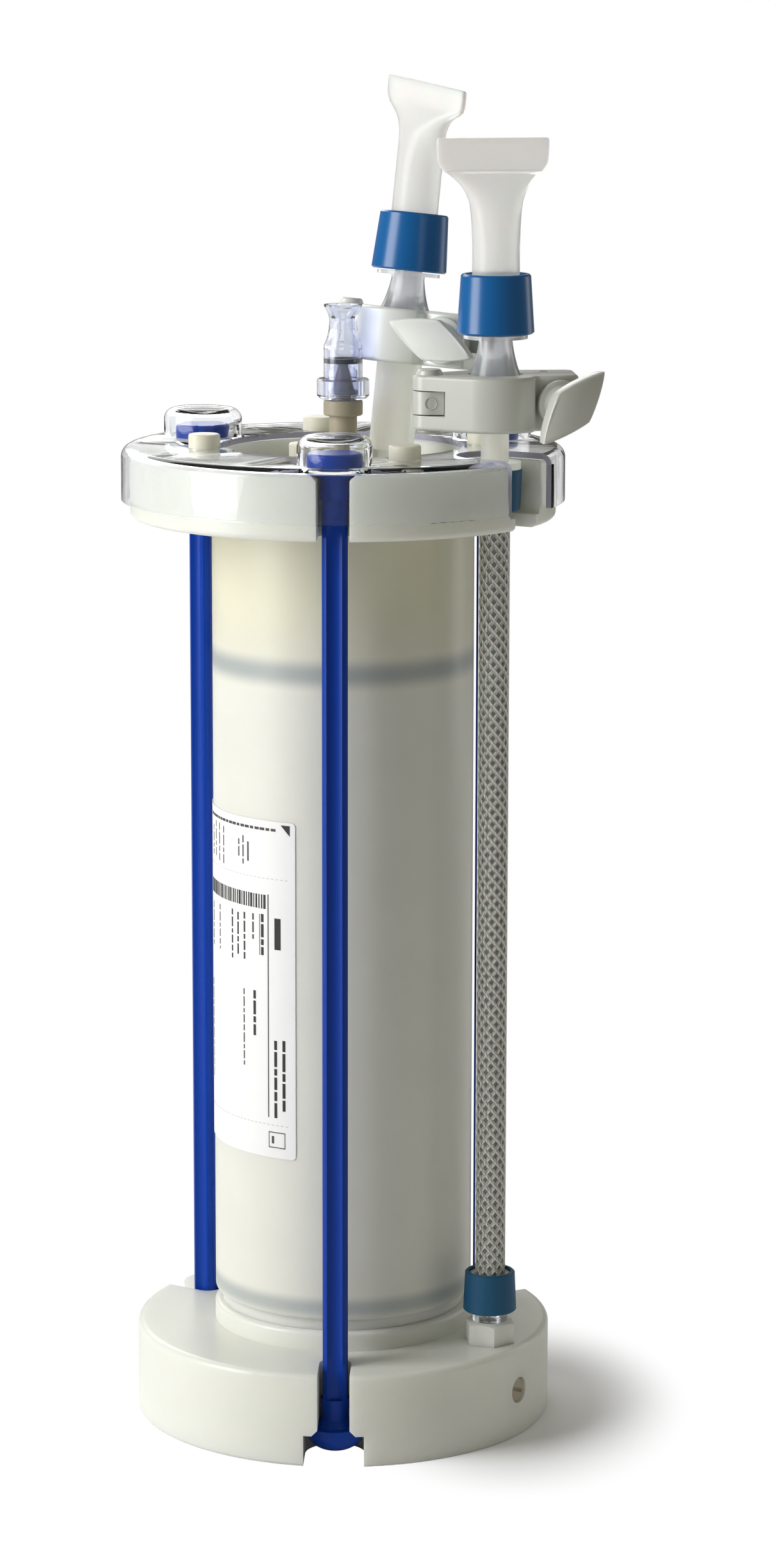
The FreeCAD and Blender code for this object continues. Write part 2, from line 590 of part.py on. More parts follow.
def tie_rod():
    """One moulding with a flat head on the ring and a domed foot under the base."""
    foot = FOOT_POCKET_HEIGHT
    foot_low = foot - ROD_FOOT_RIM
    top = RING_TOP_Z + ROD_TOP_HEAD_HEIGHT
    cone = ROD_CONE_R - ROD_NECK_R
    h = 1.2
    dome_mid = (ROD_FOOT_R * math.sin(math.radians(52)), foot_low - ROD_FOOT_DOME * math.cos(math.radians(52)))
    rod = turned([
        (0, foot_low - ROD_FOOT_DOME), dome_mid + (ROD_FOOT_R, foot_low), (ROD_FOOT_R, foot),
        (ROD_CONE_R, foot), (ROD_NECK_R, foot + cone), (ROD_NECK_R, foot + cone + FLUTE_END_GAP / 2),
        (ROD_R, foot + cone + FLUTE_END_GAP / 2), (ROD_R, RING_TOP_Z - cone), (ROD_CONE_R, RING_TOP_Z),
        (ROD_TOP_HEAD_R, RING_TOP_Z), (ROD_TOP_HEAD_R, top - h),
        rounded(ROD_TOP_HEAD_R, top, h, 1, 1) + (ROD_TOP_HEAD_R - h, top), (0, top)])
    flute_low = foot + cone + FLUTE_END_GAP
    flute_high = RING_TOP_Z - cone - FLUTE_END_GAP
    offset = ROD_R + FLUTE_R - FLUTE_DEPTH
    flutes = [cylinder(FLUTE_R, flute_high - flute_low, polar(offset, 360 * i / FLUTE_COUNT, flute_low))
              for i in range(FLUTE_COUNT)]
    return rod.cut(flutes)


def hex_union():
    corner_r = HEX_ACROSS_FLATS / math.sqrt(3)
    corners = [polar(corner_r, 60 * i + HEX_TURN, BASE_HEIGHT) for i in range(7)]
    prism = Part.Face(Part.makePolygon(corners)).extrude(UP * HEX_HEIGHT)
    top = BASE_HEIGHT + HEX_HEIGHT
    limit = turned([(0, BASE_HEIGHT), (corner_r, BASE_HEIGHT), (corner_r, top - HEX_CHAMFER),
                    (corner_r - 2 * HEX_CHAMFER, top), (0, top)])
    spigot = cylinder(PORT_SPIGOT_R, PORT_SPIGOT_LENGTH, Vector(0, 0, BASE_HEIGHT - PORT_SPIGOT_LENGTH))
    bore = cylinder(CHANNEL_R, top, Vector(0, 0, 0))
    return moved(prism.common(limit).fuse(spigot).cut(bore), polar(HOSE_CIRCLE_R, HOSE_ANGLE))


def lower_barb():
    low = BASE_HEIGHT + HEX_HEIGHT
    high = LOWER_COLLAR_Z + HOSE_COLLAR_HEIGHT
    barb = turned([(CHANNEL_R, low), (LOWER_FLANGE_R, low), (LOWER_FLANGE_R, LOWER_COLLAR_Z - COLLET_GAP),
                   (BARB_R, LOWER_COLLAR_Z - COLLET_GAP), (BARB_R, high - 1), (CHANNEL_R + 0.2, high),
                   (CHANNEL_R, high)])
    return moved(barb, polar(HOSE_CIRCLE_R, HOSE_ANGLE))


def hose_collar(z, wide_end_up):
    """Tapered ring that holds the hose on its barb."""
    low_r, high_r = HOSE_COLLAR_WIDE_R, HOSE_COLLAR_NARROW_R
    if wide_end_up:
        low_r, high_r = high_r, low_r
    top = z + HOSE_COLLAR_HEIGHT
    e = 0.5
    w = HOSE_COLLAR_WALL
    collar = turned([(low_r - w, z), (low_r - e, z), (low_r, z + e), (high_r, top - e), (high_r - e, top),
                     (high_r - w, top)])
    return moved(collar, polar(HOSE_CIRCLE_R, HOSE_ANGLE))


def hose_collet(z, wide_end_up):
    low_r, high_r = HOSE_COLLAR_WIDE_R, HOSE_COLLAR_NARROW_R
    if wide_end_up:
        low_r, high_r = high_r, low_r
    inset = HOSE_COLLAR_WALL + COLLET_GAP
    bore_r = HOSE_R + BARB_CLEARANCE
    top = z + HOSE_COLLAR_HEIGHT - COLLET_DROP
    collet = turned([(bore_r, z), (low_r - inset, z), (high_r - inset, top), (bore_r, top)])
    return moved(collet, polar(HOSE_CIRCLE_R, HOSE_ANGLE))


def braided_hose():
    low = LOWER_COLLAR_Z
    hose = ring(HOSE_R, HOSE_BORE_R, UPPER_FLANGE_Z - low, low)
    return moved(hose, polar(HOSE_CIRCLE_R, HOSE_ANGLE))


def ferrule_steps(side):
    """Outline steps of a ferrule's flange on one side of the gasket, side -1 below, 1 above."""
    face = side * GASKET_THICKNESS / 2
    rim = face + side * FERRULE_RIM
    back = face + side * FERRULE_THICKNESS
    return [(FERRULE_R, face), (FERRULE_R, rim), (FERRULE_HUB_R, back)]


def outlet_pipe():
    """Pipe from the transfer hose to the clamp, in the clamp's frame."""
    flange = UPPER_FLANGE_Z - OUTLET_CLAMP_Z
    barb_low = UPPER_COLLAR_Z - OUTLET_CLAMP_Z
    hub_low = -CLAMP_HALF + BASE_FOOT_EDGE
    pipe_r, bore_r = OUTLET_PIPE_R, OUTLET_PIPE_BORE_R
    bore_low = CHANNEL_R
    steps = [(bore_low, flange), (bore_low, barb_low), (BARB_R, barb_low), (BARB_R, flange),
             (UPPER_FLANGE_R, flange), (UPPER_FLANGE_R, flange + UPPER_FLANGE_HEIGHT),
             (pipe_r, flange + UPPER_FLANGE_HEIGHT), (pipe_r, hub_low),
             (FERRULE_HUB_R, hub_low + FERRULE_HUB_R - pipe_r - 1)]
    steps += list(reversed(ferrule_steps(-1)))
    steps += [(bore_r, -GASKET_THICKNESS / 2), (bore_r, flange + UPPER_FLANGE_HEIGHT)]
    return turned(steps)


def inlet_pipe():
    """Pipe from the hub to the clamp, in the clamp's frame."""
    low = -INLET_CLAMP_RISE - HUB_HEIGHT
    steps = [(INLET_PIPE_BORE_R, low), (INLET_PIPE_R, low), (INLET_PIPE_R, -CLAMP_HALF),
             (FERRULE_HUB_R, -CLAMP_HALF + 1)]
    steps += list(reversed(ferrule_steps(-1))) + [(INLET_PIPE_BORE_R, -GASKET_THICKNESS / 2)]
    return turned(steps)


def gasket():
    return ring(FERRULE_R, GASKET_BORE_R, GASKET_THICKNESS, -GASKET_THICKNESS / 2)


def tubing_adapter(neck):
    """Clear cone with a ferrule below and a barb above its disc."""
    back = GASKET_THICKNESS / 2 + FERRULE_THICKNESS
    base_r = FERRULE_HUB_R - 0.1
    middle = (CLAMP_HALF + neck) / 2
    disc_top = neck + ADAPTER_DISC_THICKNESS
    barb_top = disc_top + SLEEVE_HEIGHT - 1
    barb_r = TUBING_BORE_R - BARB_CLEARANCE
    mid_r = ADAPTER_NECK_R + 0.28 * (base_r - ADAPTER_NECK_R)
    steps = [(ADAPTER_BORE_R, GASKET_THICKNESS / 2)] + ferrule_steps(1)
    steps += [(base_r, back), (base_r, CLAMP_HALF - 1), (mid_r, middle, ADAPTER_NECK_R, neck - 1),
              (ADAPTER_NECK_R, neck), (ADAPTER_DISC_R, neck), (ADAPTER_DISC_R, disc_top),
              (barb_r, disc_top), (barb_r, barb_top - 1), (barb_r - 0.6, barb_top), (ADAPTER_BORE_R, barb_top)]
    return turned(steps)


def tube_sleeve(z):
    w, e = SLEEVE_WALL, 0.6
    top = z + SLEEVE_HEIGHT
    return turned([(SLEEVE_WIDE_R - w, z), (SLEEVE_WIDE_R - e, z), (SLEEVE_WIDE_R, z + e),
                   (SLEEVE_NARROW_R, top - e), (SLEEVE_NARROW_R - e, top), (SLEEVE_NARROW_R - w, top)])


def tube_collet(z):
    inset = SLEEVE_WALL + COLLET_GAP
    bore_r = TUBING_R + BARB_CLEARANCE
    top = z + SLEEVE_HEIGHT - COLLET_DROP
    body = turned([(bore_r, z), (SLEEVE_WIDE_R - inset, z), (SLEEVE_NARROW_R - inset, top), (bore_r, top)])
    slot = block(-SLEEVE_WIDE_R, SLEEVE_WIDE_R, -0.6, 0.6, z + SLEEVE_HEIGHT / 2, top + 1)
    return body.cut([slot, at_angle(slot, 90)])


def tubing_end(z, sleeve_top, form):
    """Soft tube pressed flat and welded shut at its top end."""
    taper, flat, end = (sleeve_top + form[key] for key in ("taper", "flat", "end"))
    half_w, half_t = SEAL_WIDTH / 2, SEAL_THICKNESS / 2
    sections = []
    for share in (0.0, 0.3, 0.65, 1.0):
        ease = share * share * (3 - 2 * share)
        major = TUBING_R + (half_w - TUBING_R) * ease
        minor = TUBING_R + (half_t - TUBING_R) * share
        height = taper + (flat - taper) * share
        tilt = math.radians(form["skew"] * share)
        middle = Vector(form["shift"] * share, 0, height)
        if share == 0.0:
            curve = Part.Circle(middle, UP, TUBING_R)
        else:
            normal = Vector(math.sin(tilt), 0, math.cos(tilt))
            across = Vector(math.cos(tilt), 0, -math.sin(tilt))
            curve = Part.Ellipse(middle + across * major, middle + Vector(0, minor, 0), middle)
            if curve.Axis.dot(normal) < 0:
                curve.reverse()
        sections.append(Part.Wire([curve.toShape()]))
    neck = Part.makeLoft(sections, True, False)
    shank = cylinder(TUBING_R, taper - z, Vector(0, 0, z))
    strip = block(-half_w + half_t, half_w - half_t, -half_t, half_t, -0.5, end - flat)
    for x in (-half_w + half_t, half_w - half_t):
        strip = strip.fuse(cylinder(half_t, end - flat + 0.5, Vector(x, 0, -0.5)))
    strip.rotate(Vector(), Vector(0, 1, 0), form["skew"])
    strip.translate(Vector(form["shift"], 0, flat))
    bore = cylinder(TUBING_BORE_R, taper - z, Vector(0, 0, z))
    return at_angle(shank.fuse([neck, strip]).cut(bore), form["turn"])


def prism(points):
    """Upright prism of the clamp's height over a plan outline."""
    corners = [Vector(x, y, -CLAMP_HALF) for x, y in points + points[:1]]
    return Part.Face(Part.makePolygon(corners)).extrude(UP * CLAMP_HEIGHT)


def clamp_body():
    """Both jaws closed, as one block with rounded rims, before the split and the bores."""
    half = CLAMP_HALF
    lean = (CLAMP_R - HINGE_R) / abs(HINGE_X)
    rise = math.sqrt(1 - lean * lean)
    web = prism([(HINGE_X - lean * HINGE_R, -rise * HINGE_R), (-lean * CLAMP_R, -rise * CLAMP_R),
                 (-lean * CLAMP_R, rise * CLAMP_R), (HINGE_X - lean * HINGE_R, rise * HINGE_R)])
    ear = block(0, PIVOT_X + EAR_REACH, -SEAT_R, PIVOT_Y, -half, half)
    ear = ear.common(cylinder(SEAT_R, 2 * half, Vector(PIVOT_X, PIVOT_Y, -half)))
    end, back, c = PIVOT_X + EAR_REACH, PIVOT_Y + REAR_DEPTH, REAR_CORNER
    rear = prism([(0, 0), (end, 0), (end, back - c), (end - c, back), (0, back)])
    body = cylinder(CLAMP_R, 2 * half, Vector(0, 0, -half)).fuse([knuckle(-half, half), web, ear, rear])
    start = NUT_ROOM_START
    far = PIVOT_X + 2 * SEAT_R
    low = -math.sqrt(SEAT_R ** 2 - (PIVOT_X - start) ** 2) + PIVOT_Y
    room = prism([(start, low), (start - NUT_ROOM_LEAN, -CLAMP_R), (start - NUT_ROOM_LEAN, -far), (far, -far),
                  (far, PIVOT_Y), (PIVOT_X, PIVOT_Y)])
    room = room.cut(cylinder(SEAT_R, 2 * half, Vector(PIVOT_X, PIVOT_Y, -half)))
    body = body.cut(room).removeSplitter()
    corners = [edge for edge in body.Edges
               if abs(edge.CenterOfMass.z) < 1e-4 and edge.CenterOfMass.x > start - NUT_ROOM_LEAN]
    body = body.makeFillet(CLAMP_CORNER_R, corners)
    rims = [edge for edge in body.Edges if abs(abs(edge.CenterOfMass.z) - half) < 1e-4]
    return body.makeFillet(CLAMP_EDGE, rims)


def jaw_side(sign):
    """The space of one jaw, -1 for the front and 1 for the rear; the split leans beyond the bore."""
    gap = sign * CLAMP_SPLIT / 2
    far = 2 * CLAMP_R
    lift = far * math.tan(math.radians(CLAMP_SPLIT_TURN))
    return prism([(-far, gap), (0, gap), (far, gap + lift), (far, sign * far), (-far, sign * far)])


def clamp_bores():
    half = CLAMP_HALF
    groove = FERRULE_R + CLAMP_GROOVE_GAP
    depth = GASKET_THICKNESS / 2 + FERRULE_RIM + CLAMP_GROOVE_GAP
    slope = depth + (FERRULE_THICKNESS - FERRULE_RIM)
    return turned([(0, -half - 1), (CLAMP_BORE_R, -half - 1), (CLAMP_BORE_R, -slope), (groove, -depth),
                   (groove, depth), (CLAMP_BORE_R, slope), (CLAMP_BORE_R, half + 1), (0, half + 1)])


def knuckle(low, high, radius=HINGE_R):
    return cylinder(radius, high - low, Vector(HINGE_X, 0, low))


def clamp_front():
    half, mid = CLAMP_HALF, KNUCKLE_HEIGHT / 2
    whole = clamp_body()
    body = whole.common(jaw_side(-1))
    body = body.fuse([whole.common(knuckle(-half, -mid)), whole.common(knuckle(mid, half))])
    window = block(HINGE_X - HINGE_R - 1, HINGE_X + HINGE_R - BASE_FOOT_EDGE, -CLAMP_R, HINGE_R + 1,
                   -mid - KNUCKLE_GAP, mid + KNUCKLE_GAP)
    pin_hole = knuckle(-half - 1, half + 1, HINGE_PIN_R + PIN_CLEARANCE)
    gap = BOLT_R + BOLT_SLOT_GAP
    slot = block(PIVOT_X, PIVOT_X + CLAMP_R, -CLAMP_R, CLAMP_R, -gap, gap)
    slot = slot.fuse(cylinder(gap, 2 * CLAMP_R, Vector(PIVOT_X, -CLAMP_R, 0), Vector(0, 1, 0)))
    return body.cut([clamp_bores(), window, pin_hole, slot])


def clamp_rear():
    half, mid = CLAMP_HALF, KNUCKLE_HEIGHT / 2
    body = clamp_body().common(jaw_side(1))
    clear = HINGE_R + KNUCKLE_GAP
    body = body.cut([knuckle(-half - 1, -mid + KNUCKLE_GAP, clear), knuckle(mid - KNUCKLE_GAP, half + 1, clear)])
    inner = mid - KNUCKLE_GAP
    reach = HINGE_X + HINGE_R - BASE_FOOT_EDGE - KNUCKLE_GAP
    filler = block(HINGE_X, reach, -HINGE_R, HINGE_R, -inner, inner)
    middle = knuckle(-inner, inner).cut(block(reach, 0, -CLAMP_R, CLAMP_SPLIT / 2, -inner, inner))
    body = body.fuse([middle, filler])
    pin_hole = knuckle(-half - 1, half + 1, HINGE_PIN_R + PIN_CLEARANCE)
    gap = EYE_HEIGHT / 2 + EYE_GAP
    eye_room = EYE_R + EYE_GAP
    shank_side = PIVOT_X - BOLT_R - BOLT_SLOT_GAP
    slot = block(shank_side, PIVOT_X + CLAMP_R, -CLAMP_R, PIVOT_Y, -gap, gap)
    slot = slot.fuse([cylinder(eye_room, 2 * gap, Vector(PIVOT_X, PIVOT_Y, -gap)),
                      block(PIVOT_X, PIVOT_X + CLAMP_R, 0, PIVOT_Y + eye_room, -gap, gap)])
    pivot_hole = cylinder(PIVOT_PIN_R, 2 * half + 2, Vector(PIVOT_X, PIVOT_Y, -half - 1))
    return body.cut([clamp_bores(), pin_hole, slot, pivot_hole])


def hinge_pin():
    half = CLAMP_HALF
    h, low = half + PIN_HEAD_TOP, -half - PIN_HEAD_BOTTOM
    chamfer = 0.5
    pin = turned([(0, low), (PIN_HEAD_R - chamfer, low), (PIN_HEAD_R, low + chamfer), (PIN_HEAD_R, -half),
                  (HINGE_PIN_R, -half), (HINGE_PIN_R, half), (PIN_HEAD_R + chamfer, half),
                  (PIN_HEAD_R, h - chamfer), (PIN_HEAD_R - chamfer, h), (0, h)])
    return moved(pin, Vector(HINGE_X, 0, 0))


def pivot_pin():
    return cylinder(PIVOT_PIN_R, CLAMP_HEIGHT - 1, Vector(PIVOT_X, PIVOT_Y, 0.5 - CLAMP_HALF))


def nut_face_y():
    return PIVOT_Y - SEAT_R - NUT_GAP


def swung(shape, rest):
    """Turn a piece of the bolt outwards about the pivot, from straight ahead to where it rests."""
    shape = shape.copy()
    shape.rotate(Vector(PIVOT_X, PIVOT_Y, 0), UP, rest)
    return shape


def swing_bolt(rest):
    eye = cylinder(EYE_R, EYE_HEIGHT, Vector(PIVOT_X, PIVOT_Y, -EYE_HEIGHT / 2))
    nut_length = NUT_COLLAR_HEIGHT + NUT_NECK_HEIGHT + WING_THICKNESS
    tip = nut_face_y() - nut_length + NUT_CAP
    shank = cylinder(BOLT_R, PIVOT_Y - tip, Vector(PIVOT_X, tip, 0), Vector(0, 1, 0))
    hole = cylinder(PIVOT_PIN_R + PIN_CLEARANCE, CLAMP_HEIGHT, Vector(PIVOT_X, PIVOT_Y, -CLAMP_HALF))
    return swung(eye.fuse(shank).cut(hole), rest)


def wing_nut(turn, rest):
    """Closed nut with a flat diamond-shaped grip; it stands on the bolt in front of the ear."""
    half_l, half_w = WING_LENGTH / 2, WING_WIDTH / 2
    collar = cylinder(NUT_COLLAR_R, NUT_COLLAR_HEIGHT)
    neck = Part.makeCone(NUT_NECK_R, NUT_NECK_R + NUT_NECK_FLARE, NUT_NECK_HEIGHT,
                         Vector(0, 0, NUT_COLLAR_HEIGHT))
    wing_z = NUT_COLLAR_HEIGHT + NUT_NECK_HEIGHT
    corners = [Vector(half_l, 0, wing_z), Vector(0, half_w, wing_z), Vector(-half_l, 0, wing_z),
               Vector(0, -half_w, wing_z), Vector(half_l, 0, wing_z)]
    wing = Part.Face(Part.makePolygon(corners)).extrude(UP * WING_THICKNESS)
    upright = [edge for edge in wing.Edges if abs(edge.Length - WING_THICKNESS) < 1e-6]
    wing = wing.makeFillet(WING_CORNER_R, upright)
    hole = cylinder(BOLT_R + PIN_CLEARANCE, wing_z + WING_THICKNESS - NUT_CAP + NUT_GAP)
    nut = collar.fuse([neck, wing]).cut(hole)
    side = Vector(math.cos(math.radians(turn)), 0, math.sin(math.radians(turn)))
    front = Vector(0, -1, 0)
    nut.Placement = FreeCAD.Placement(Vector(PIVOT_X, nut_face_y(), 0),
                                      FreeCAD.Rotation(side, front.cross(side), front, "ZXY"))
    return swung(nut, rest)


def clamp_joint(name, pipe, neck, rest, wing_turn, tubing):
    """Every piece of one clamped tubing joint, in the clamp's own frame."""
    sleeve_z = neck + ADAPTER_DISC_THICKNESS + SLEEVE_LIFT
    pieces = {
        "pipe": pipe, "gasket": gasket(), "clamp_front_jaw": clamp_front(), "clamp_rear_jaw": clamp_rear(),
        "clamp_hinge_pin": hinge_pin(), "clamp_pivot_pin": pivot_pin(), "clamp_swing_bolt": swing_bolt(rest),
        "clamp_wing_nut": wing_nut(wing_turn, rest), "tubing_adapter": tubing_adapter(neck),
        "tubing_sleeve": tube_sleeve(sleeve_z), "tubing_collet": tube_collet(sleeve_z),
        "sealed_tubing": tubing_end(sleeve_z, sleeve_z + SLEEVE_HEIGHT, tubing)}
    return {name + "_" + piece: shape for piece, shape in pieces.items()}


def stand(pieces, origin, axis, turn):
    """Place a joint's pieces with their Z along axis and their X towards the angle turn."""
    across = polar(1, turn)
    side = (across - axis * across.dot(axis)).normalize()
    where = FreeCAD.Placement(origin, FreeCAD.Rotation(side, axis.cross(side), axis, "ZXY"))
    placed = {}
    for name, shape in pieces.items():
        shape = shape.copy()
        shape.Placement = where.multiply(shape.Placement)
        placed[name] = shape
    return placed


def vent_fitting():
    e = VENT_EDGE
    z0 = HUB_TOP_Z
    z1 = z0 + VENT_STEM_HEIGHT
    z2 = z1 + VENT_COLLAR_HEIGHT
    z3 = z2 + VENT_NOSE_HEIGHT
    return turned([
        (VENT_BORE_R, z0 - VENT_SPIGOT_LENGTH), (VENT_SPIGOT_R, z0 - VENT_SPIGOT_LENGTH), (VENT_SPIGOT_R, z0),
        (VENT_STEM_R, z0), (VENT_STEM_R, z1), (VENT_COLLAR_R - e, z1),
        rounded(VENT_COLLAR_R, z1, e, 1, -1) + (VENT_COLLAR_R, z1 + e), (VENT_COLLAR_R, z2 - e),
        rounded(VENT_COLLAR_R, z2, e, 1, 1) + (VENT_COLLAR_R - e, z2), (VENT_NOSE_R, z2), (VENT_NOSE_R, z3),
        (VENT_BORE_R, z3)])


def vent_housing():
    """Clear body: straight below, waisted above, with an open flared mouth."""
    bottom = VALVE_BOTTOM_Z + LOCK_RING_FLOOR
    shoulder = VALVE_BOTTOM_Z + LOCK_RING_FLOOR + VALVE_BODY_HEIGHT + 0.8
    waist = shoulder + VALVE_WAIST_HEIGHT
    rim = waist + VALVE_RIM_HEIGHT
    inner = VALVE_R - VALVE_WALL
    lean_r = (VALVE_R + VALVE_WAIST_R) / 2
    return turned([
        (inner, bottom), (VALVE_R, bottom), (VALVE_R, shoulder),
        (lean_r - 0.4, (shoulder + waist) / 2, VALVE_WAIST_R, waist),
        (VALVE_WAIST_R + 0.35, (waist + rim) / 2, VALVE_RIM_R - 0.4, rim - 1.2), (VALVE_RIM_R, rim - 0.6),
        (VALVE_RIM_R, rim), (VALVE_RIM_R - VALVE_WALL, rim), (VALVE_WAIST_BORE_R, waist + VALVE_BORE_LENGTH / 2),
        (VALVE_WAIST_BORE_R, waist - VALVE_BORE_LENGTH / 2), (inner, shoulder - 1)])


def vent_lock_ring():
    z0 = VALVE_BOTTOM_Z
    z1 = z0 + LOCK_RING_HEIGHT
    wall_r = VALVE_R + BARB_CLEARANCE
    body = turned([
        (LOCK_RING_LIP_R, z0), (LOCK_RING_R - 1, z0), (LOCK_RING_R, z0 + 1), (LOCK_RING_R, z1 - 0.5),
        (LOCK_RING_R - 0.5, z1), (wall_r, z1), (wall_r, z0 + LOCK_RING_FLOOR - COLLET_GAP),
        (LOCK_RING_LIP_R, z0 + LOCK_RING_FLOOR - COLLET_GAP)])
    top = z1 + TAB_RISE
    shell = ring(wall_r + TAB_THICKNESS, wall_r, top - z1 + 1, z1 - 1)
    half = TAB_WIDTH / 2
    arch_r = half
    gate = block(-LOCK_RING_R, LOCK_RING_R, -half, half, z1 - 1, top - arch_r / 2)
    crown = cylinder(arch_r, 2 * LOCK_RING_R, Vector(-LOCK_RING_R, 0, top - arch_r), Vector(1, 0, 0))
    tabs = at_angle(shell.common(gate.fuse(crown)), 90)
    return body.fuse(tabs)


def vent_stopper():
    z0 = VALVE_BOTTOM_Z + LOCK_RING_FLOOR + COLLET_GAP
    return turned([(0, z0), (STOPPER_FOOT_R, z0), (STOPPER_FOOT_R, z0 + STOPPER_FOOT),
                   (STOPPER_BASE_R, z0 + STOPPER_FOOT), (STOPPER_TOP_R, z0 + STOPPER_FOOT + STOPPER_HEIGHT),
                   (0, z0 + STOPPER_FOOT + STOPPER_HEIGHT)])


def vent_seal():
    z0 = VALVE_BOTTOM_Z + LOCK_RING_FLOOR + COLLET_GAP + STOPPER_FOOT + STOPPER_HEIGHT + COLLET_GAP
    outer = VALVE_R - VALVE_WALL
    return ring(outer, VENT_SEAL_BORE_R, VENT_SEAL_THICKNESS, z0)


def label():
    sweep = LABEL_TO - LABEL_FROM
    inner = TUBE_R + LABEL_GAP
    outer = inner + LABEL_THICKNESS
    face = Part.Face(outline([(inner, 0), (outer, 0), (outer, LABEL_HEIGHT), (inner, LABEL_HEIGHT)]))
    sheet = moved(at_angle(face.revolve(Vector(), UP, sweep), LABEL_FROM), Vector(0, 0, LABEL_BOTTOM_Z))
    c = LABEL_CORNER_R
    corner_turn = math.degrees(c / inner)
    corners = []
    for angle, side in ((LABEL_FROM, 1), (LABEL_TO, -1)):
        for z, rise in ((0, 1), (LABEL_HEIGHT, -1)):
            low_y = -c - 1 if side > 0 else 0
            low_z = z - 1 if rise > 0 else z - c
            square = Part.makeBox(TUBE_WALL, c + 1, c + 1, Vector(inner - 1, low_y, low_z))
            post = cylinder(c, TUBE_WALL, Vector(inner - 1, 0, z + c * rise), Vector(1, 0, 0))
            corners.append(at_angle(square.cut(post), angle + side * corner_turn))
    return sheet.cut([moved(corner, Vector(0, 0, LABEL_BOTTOM_Z)) for corner in corners])


def all_pieces():
    pieces = {
        "base_lid": base_lid(), "channel_plug_screw": channel_plug(), "channel_plug_seal": plug_seal(),
        "bottom_adapter": bottom_adapter(), "bottom_o_ring": o_ring(BOTTOM_O_RING_Z),
        "bottom_support_screen": support_screen(BOTTOM_PLUG_TOP_Z), "resin_bed": resin_bed(),
        "column_tube": column_tube(), "top_support_screen": support_screen(BED_TOP_Z),
        "top_o_ring": o_ring(TOP_O_RING_Z), "top_adapter": top_adapter(), "top_ring": top_ring(),
        "ring_screws": ring_screws(), "clear_cover": clear_cover(), "purge_plug": purge_plug(),
        "hose_hex_union": hex_union(), "lower_hose_barb": lower_barb(),
        "lower_hose_collar": hose_collar(LOWER_COLLAR_Z, False),
        "lower_hose_collet": hose_collet(LOWER_COLLAR_Z, False), "braided_hose": braided_hose(),
        "upper_hose_collar": hose_collar(UPPER_COLLAR_Z, True),
        "upper_hose_collet": hose_collet(UPPER_COLLAR_Z, True),
        "vent_fitting": vent_fitting(), "vent_housing": vent_housing(), "vent_lock_ring": vent_lock_ring(),
        "vent_stopper": vent_stopper(), "vent_seal": vent_seal(), "label": label()}
    rod = tie_rod()
    for name, angle in ROD_ANGLES.items():
        pieces["tie_rod_" + name] = moved(at_angle(rod, angle + 90), polar(ROD_CIRCLE_R, angle))
    outlet = clamp_joint("outlet", outlet_pipe(), OUTLET_NECK, OUTLET_BOLT_REST, OUTLET_WING_TURN,
                         OUTLET_TUBING)
    pieces.update(stand(outlet, polar(HOSE_CIRCLE_R, HOSE_ANGLE, OUTLET_CLAMP_Z), UP, OUTLET_TURN))
    inlet = clamp_joint("inlet", inlet_pipe(), INLET_NECK, INLET_BOLT_REST, INLET_WING_TURN, INLET_TUBING)
    clamp_at = inlet_foot() + inlet_axis() * INLET_CLAMP_RISE
    pieces.update(stand(inlet, clamp_at, inlet_axis(), INLET_TURN))
    return pieces


os.makedirs("parts", exist_ok=True)
for node, shape in all_pieces().items():
    shape.exportStep("parts/" + node + ".step")
    box = shape.BoundBox
    print(f"{node:28s} solids {len(shape.Solids)} valid {shape.isValid()} volume {shape.Volume:10.1f} "
          f"x {box.XMin:7.2f} {box.XMax:7.2f} y {box.YMin:7.2f} {box.YMax:7.2f} z {box.ZMin:7.2f} {box.ZMax:7.2f}")
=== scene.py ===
"""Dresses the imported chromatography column: moulded, clear and printed pieces, materials and stage."""
import math

import bmesh
import bpy
from mathutils import Matrix, Vector


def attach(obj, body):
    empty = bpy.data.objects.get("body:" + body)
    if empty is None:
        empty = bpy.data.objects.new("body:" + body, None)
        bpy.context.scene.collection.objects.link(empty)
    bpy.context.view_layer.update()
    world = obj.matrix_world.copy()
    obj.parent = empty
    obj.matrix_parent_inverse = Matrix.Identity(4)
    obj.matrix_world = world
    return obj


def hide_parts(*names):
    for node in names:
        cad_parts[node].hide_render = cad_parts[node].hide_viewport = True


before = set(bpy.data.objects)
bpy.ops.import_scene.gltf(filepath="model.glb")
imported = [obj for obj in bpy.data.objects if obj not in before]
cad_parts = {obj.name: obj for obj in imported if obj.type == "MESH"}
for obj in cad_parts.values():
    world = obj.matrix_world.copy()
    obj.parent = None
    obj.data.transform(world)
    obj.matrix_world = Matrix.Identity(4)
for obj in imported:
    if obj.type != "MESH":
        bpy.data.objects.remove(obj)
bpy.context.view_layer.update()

bl_info = {
    "name": "Chromatography Column",
    "version": (1, 0, 0),
    "blender": (4, 5, 0),
    "location": "View3D > Sidebar > Column",
    "description": "Builds the visible pieces and finishes of a packed chromatography column",
    "category": "Object",
}

MM = 0.001


# Sizes and colours a user may change

def length(name, description, millimetres):
    return bpy.props.FloatProperty(name=name, description=description, default=millimetres * MM,
                                   unit="LENGTH")


def turn_angle(name, description, degrees):
    return bpy.props.FloatProperty(name=name, description=description, default=math.radians(degrees),
                                   subtype="ANGLE")


def tone(name, description, value):
    return bpy.props.FloatVectorProperty(name=name, description=description, subtype="COLOR", size=3,
                                         default=value)


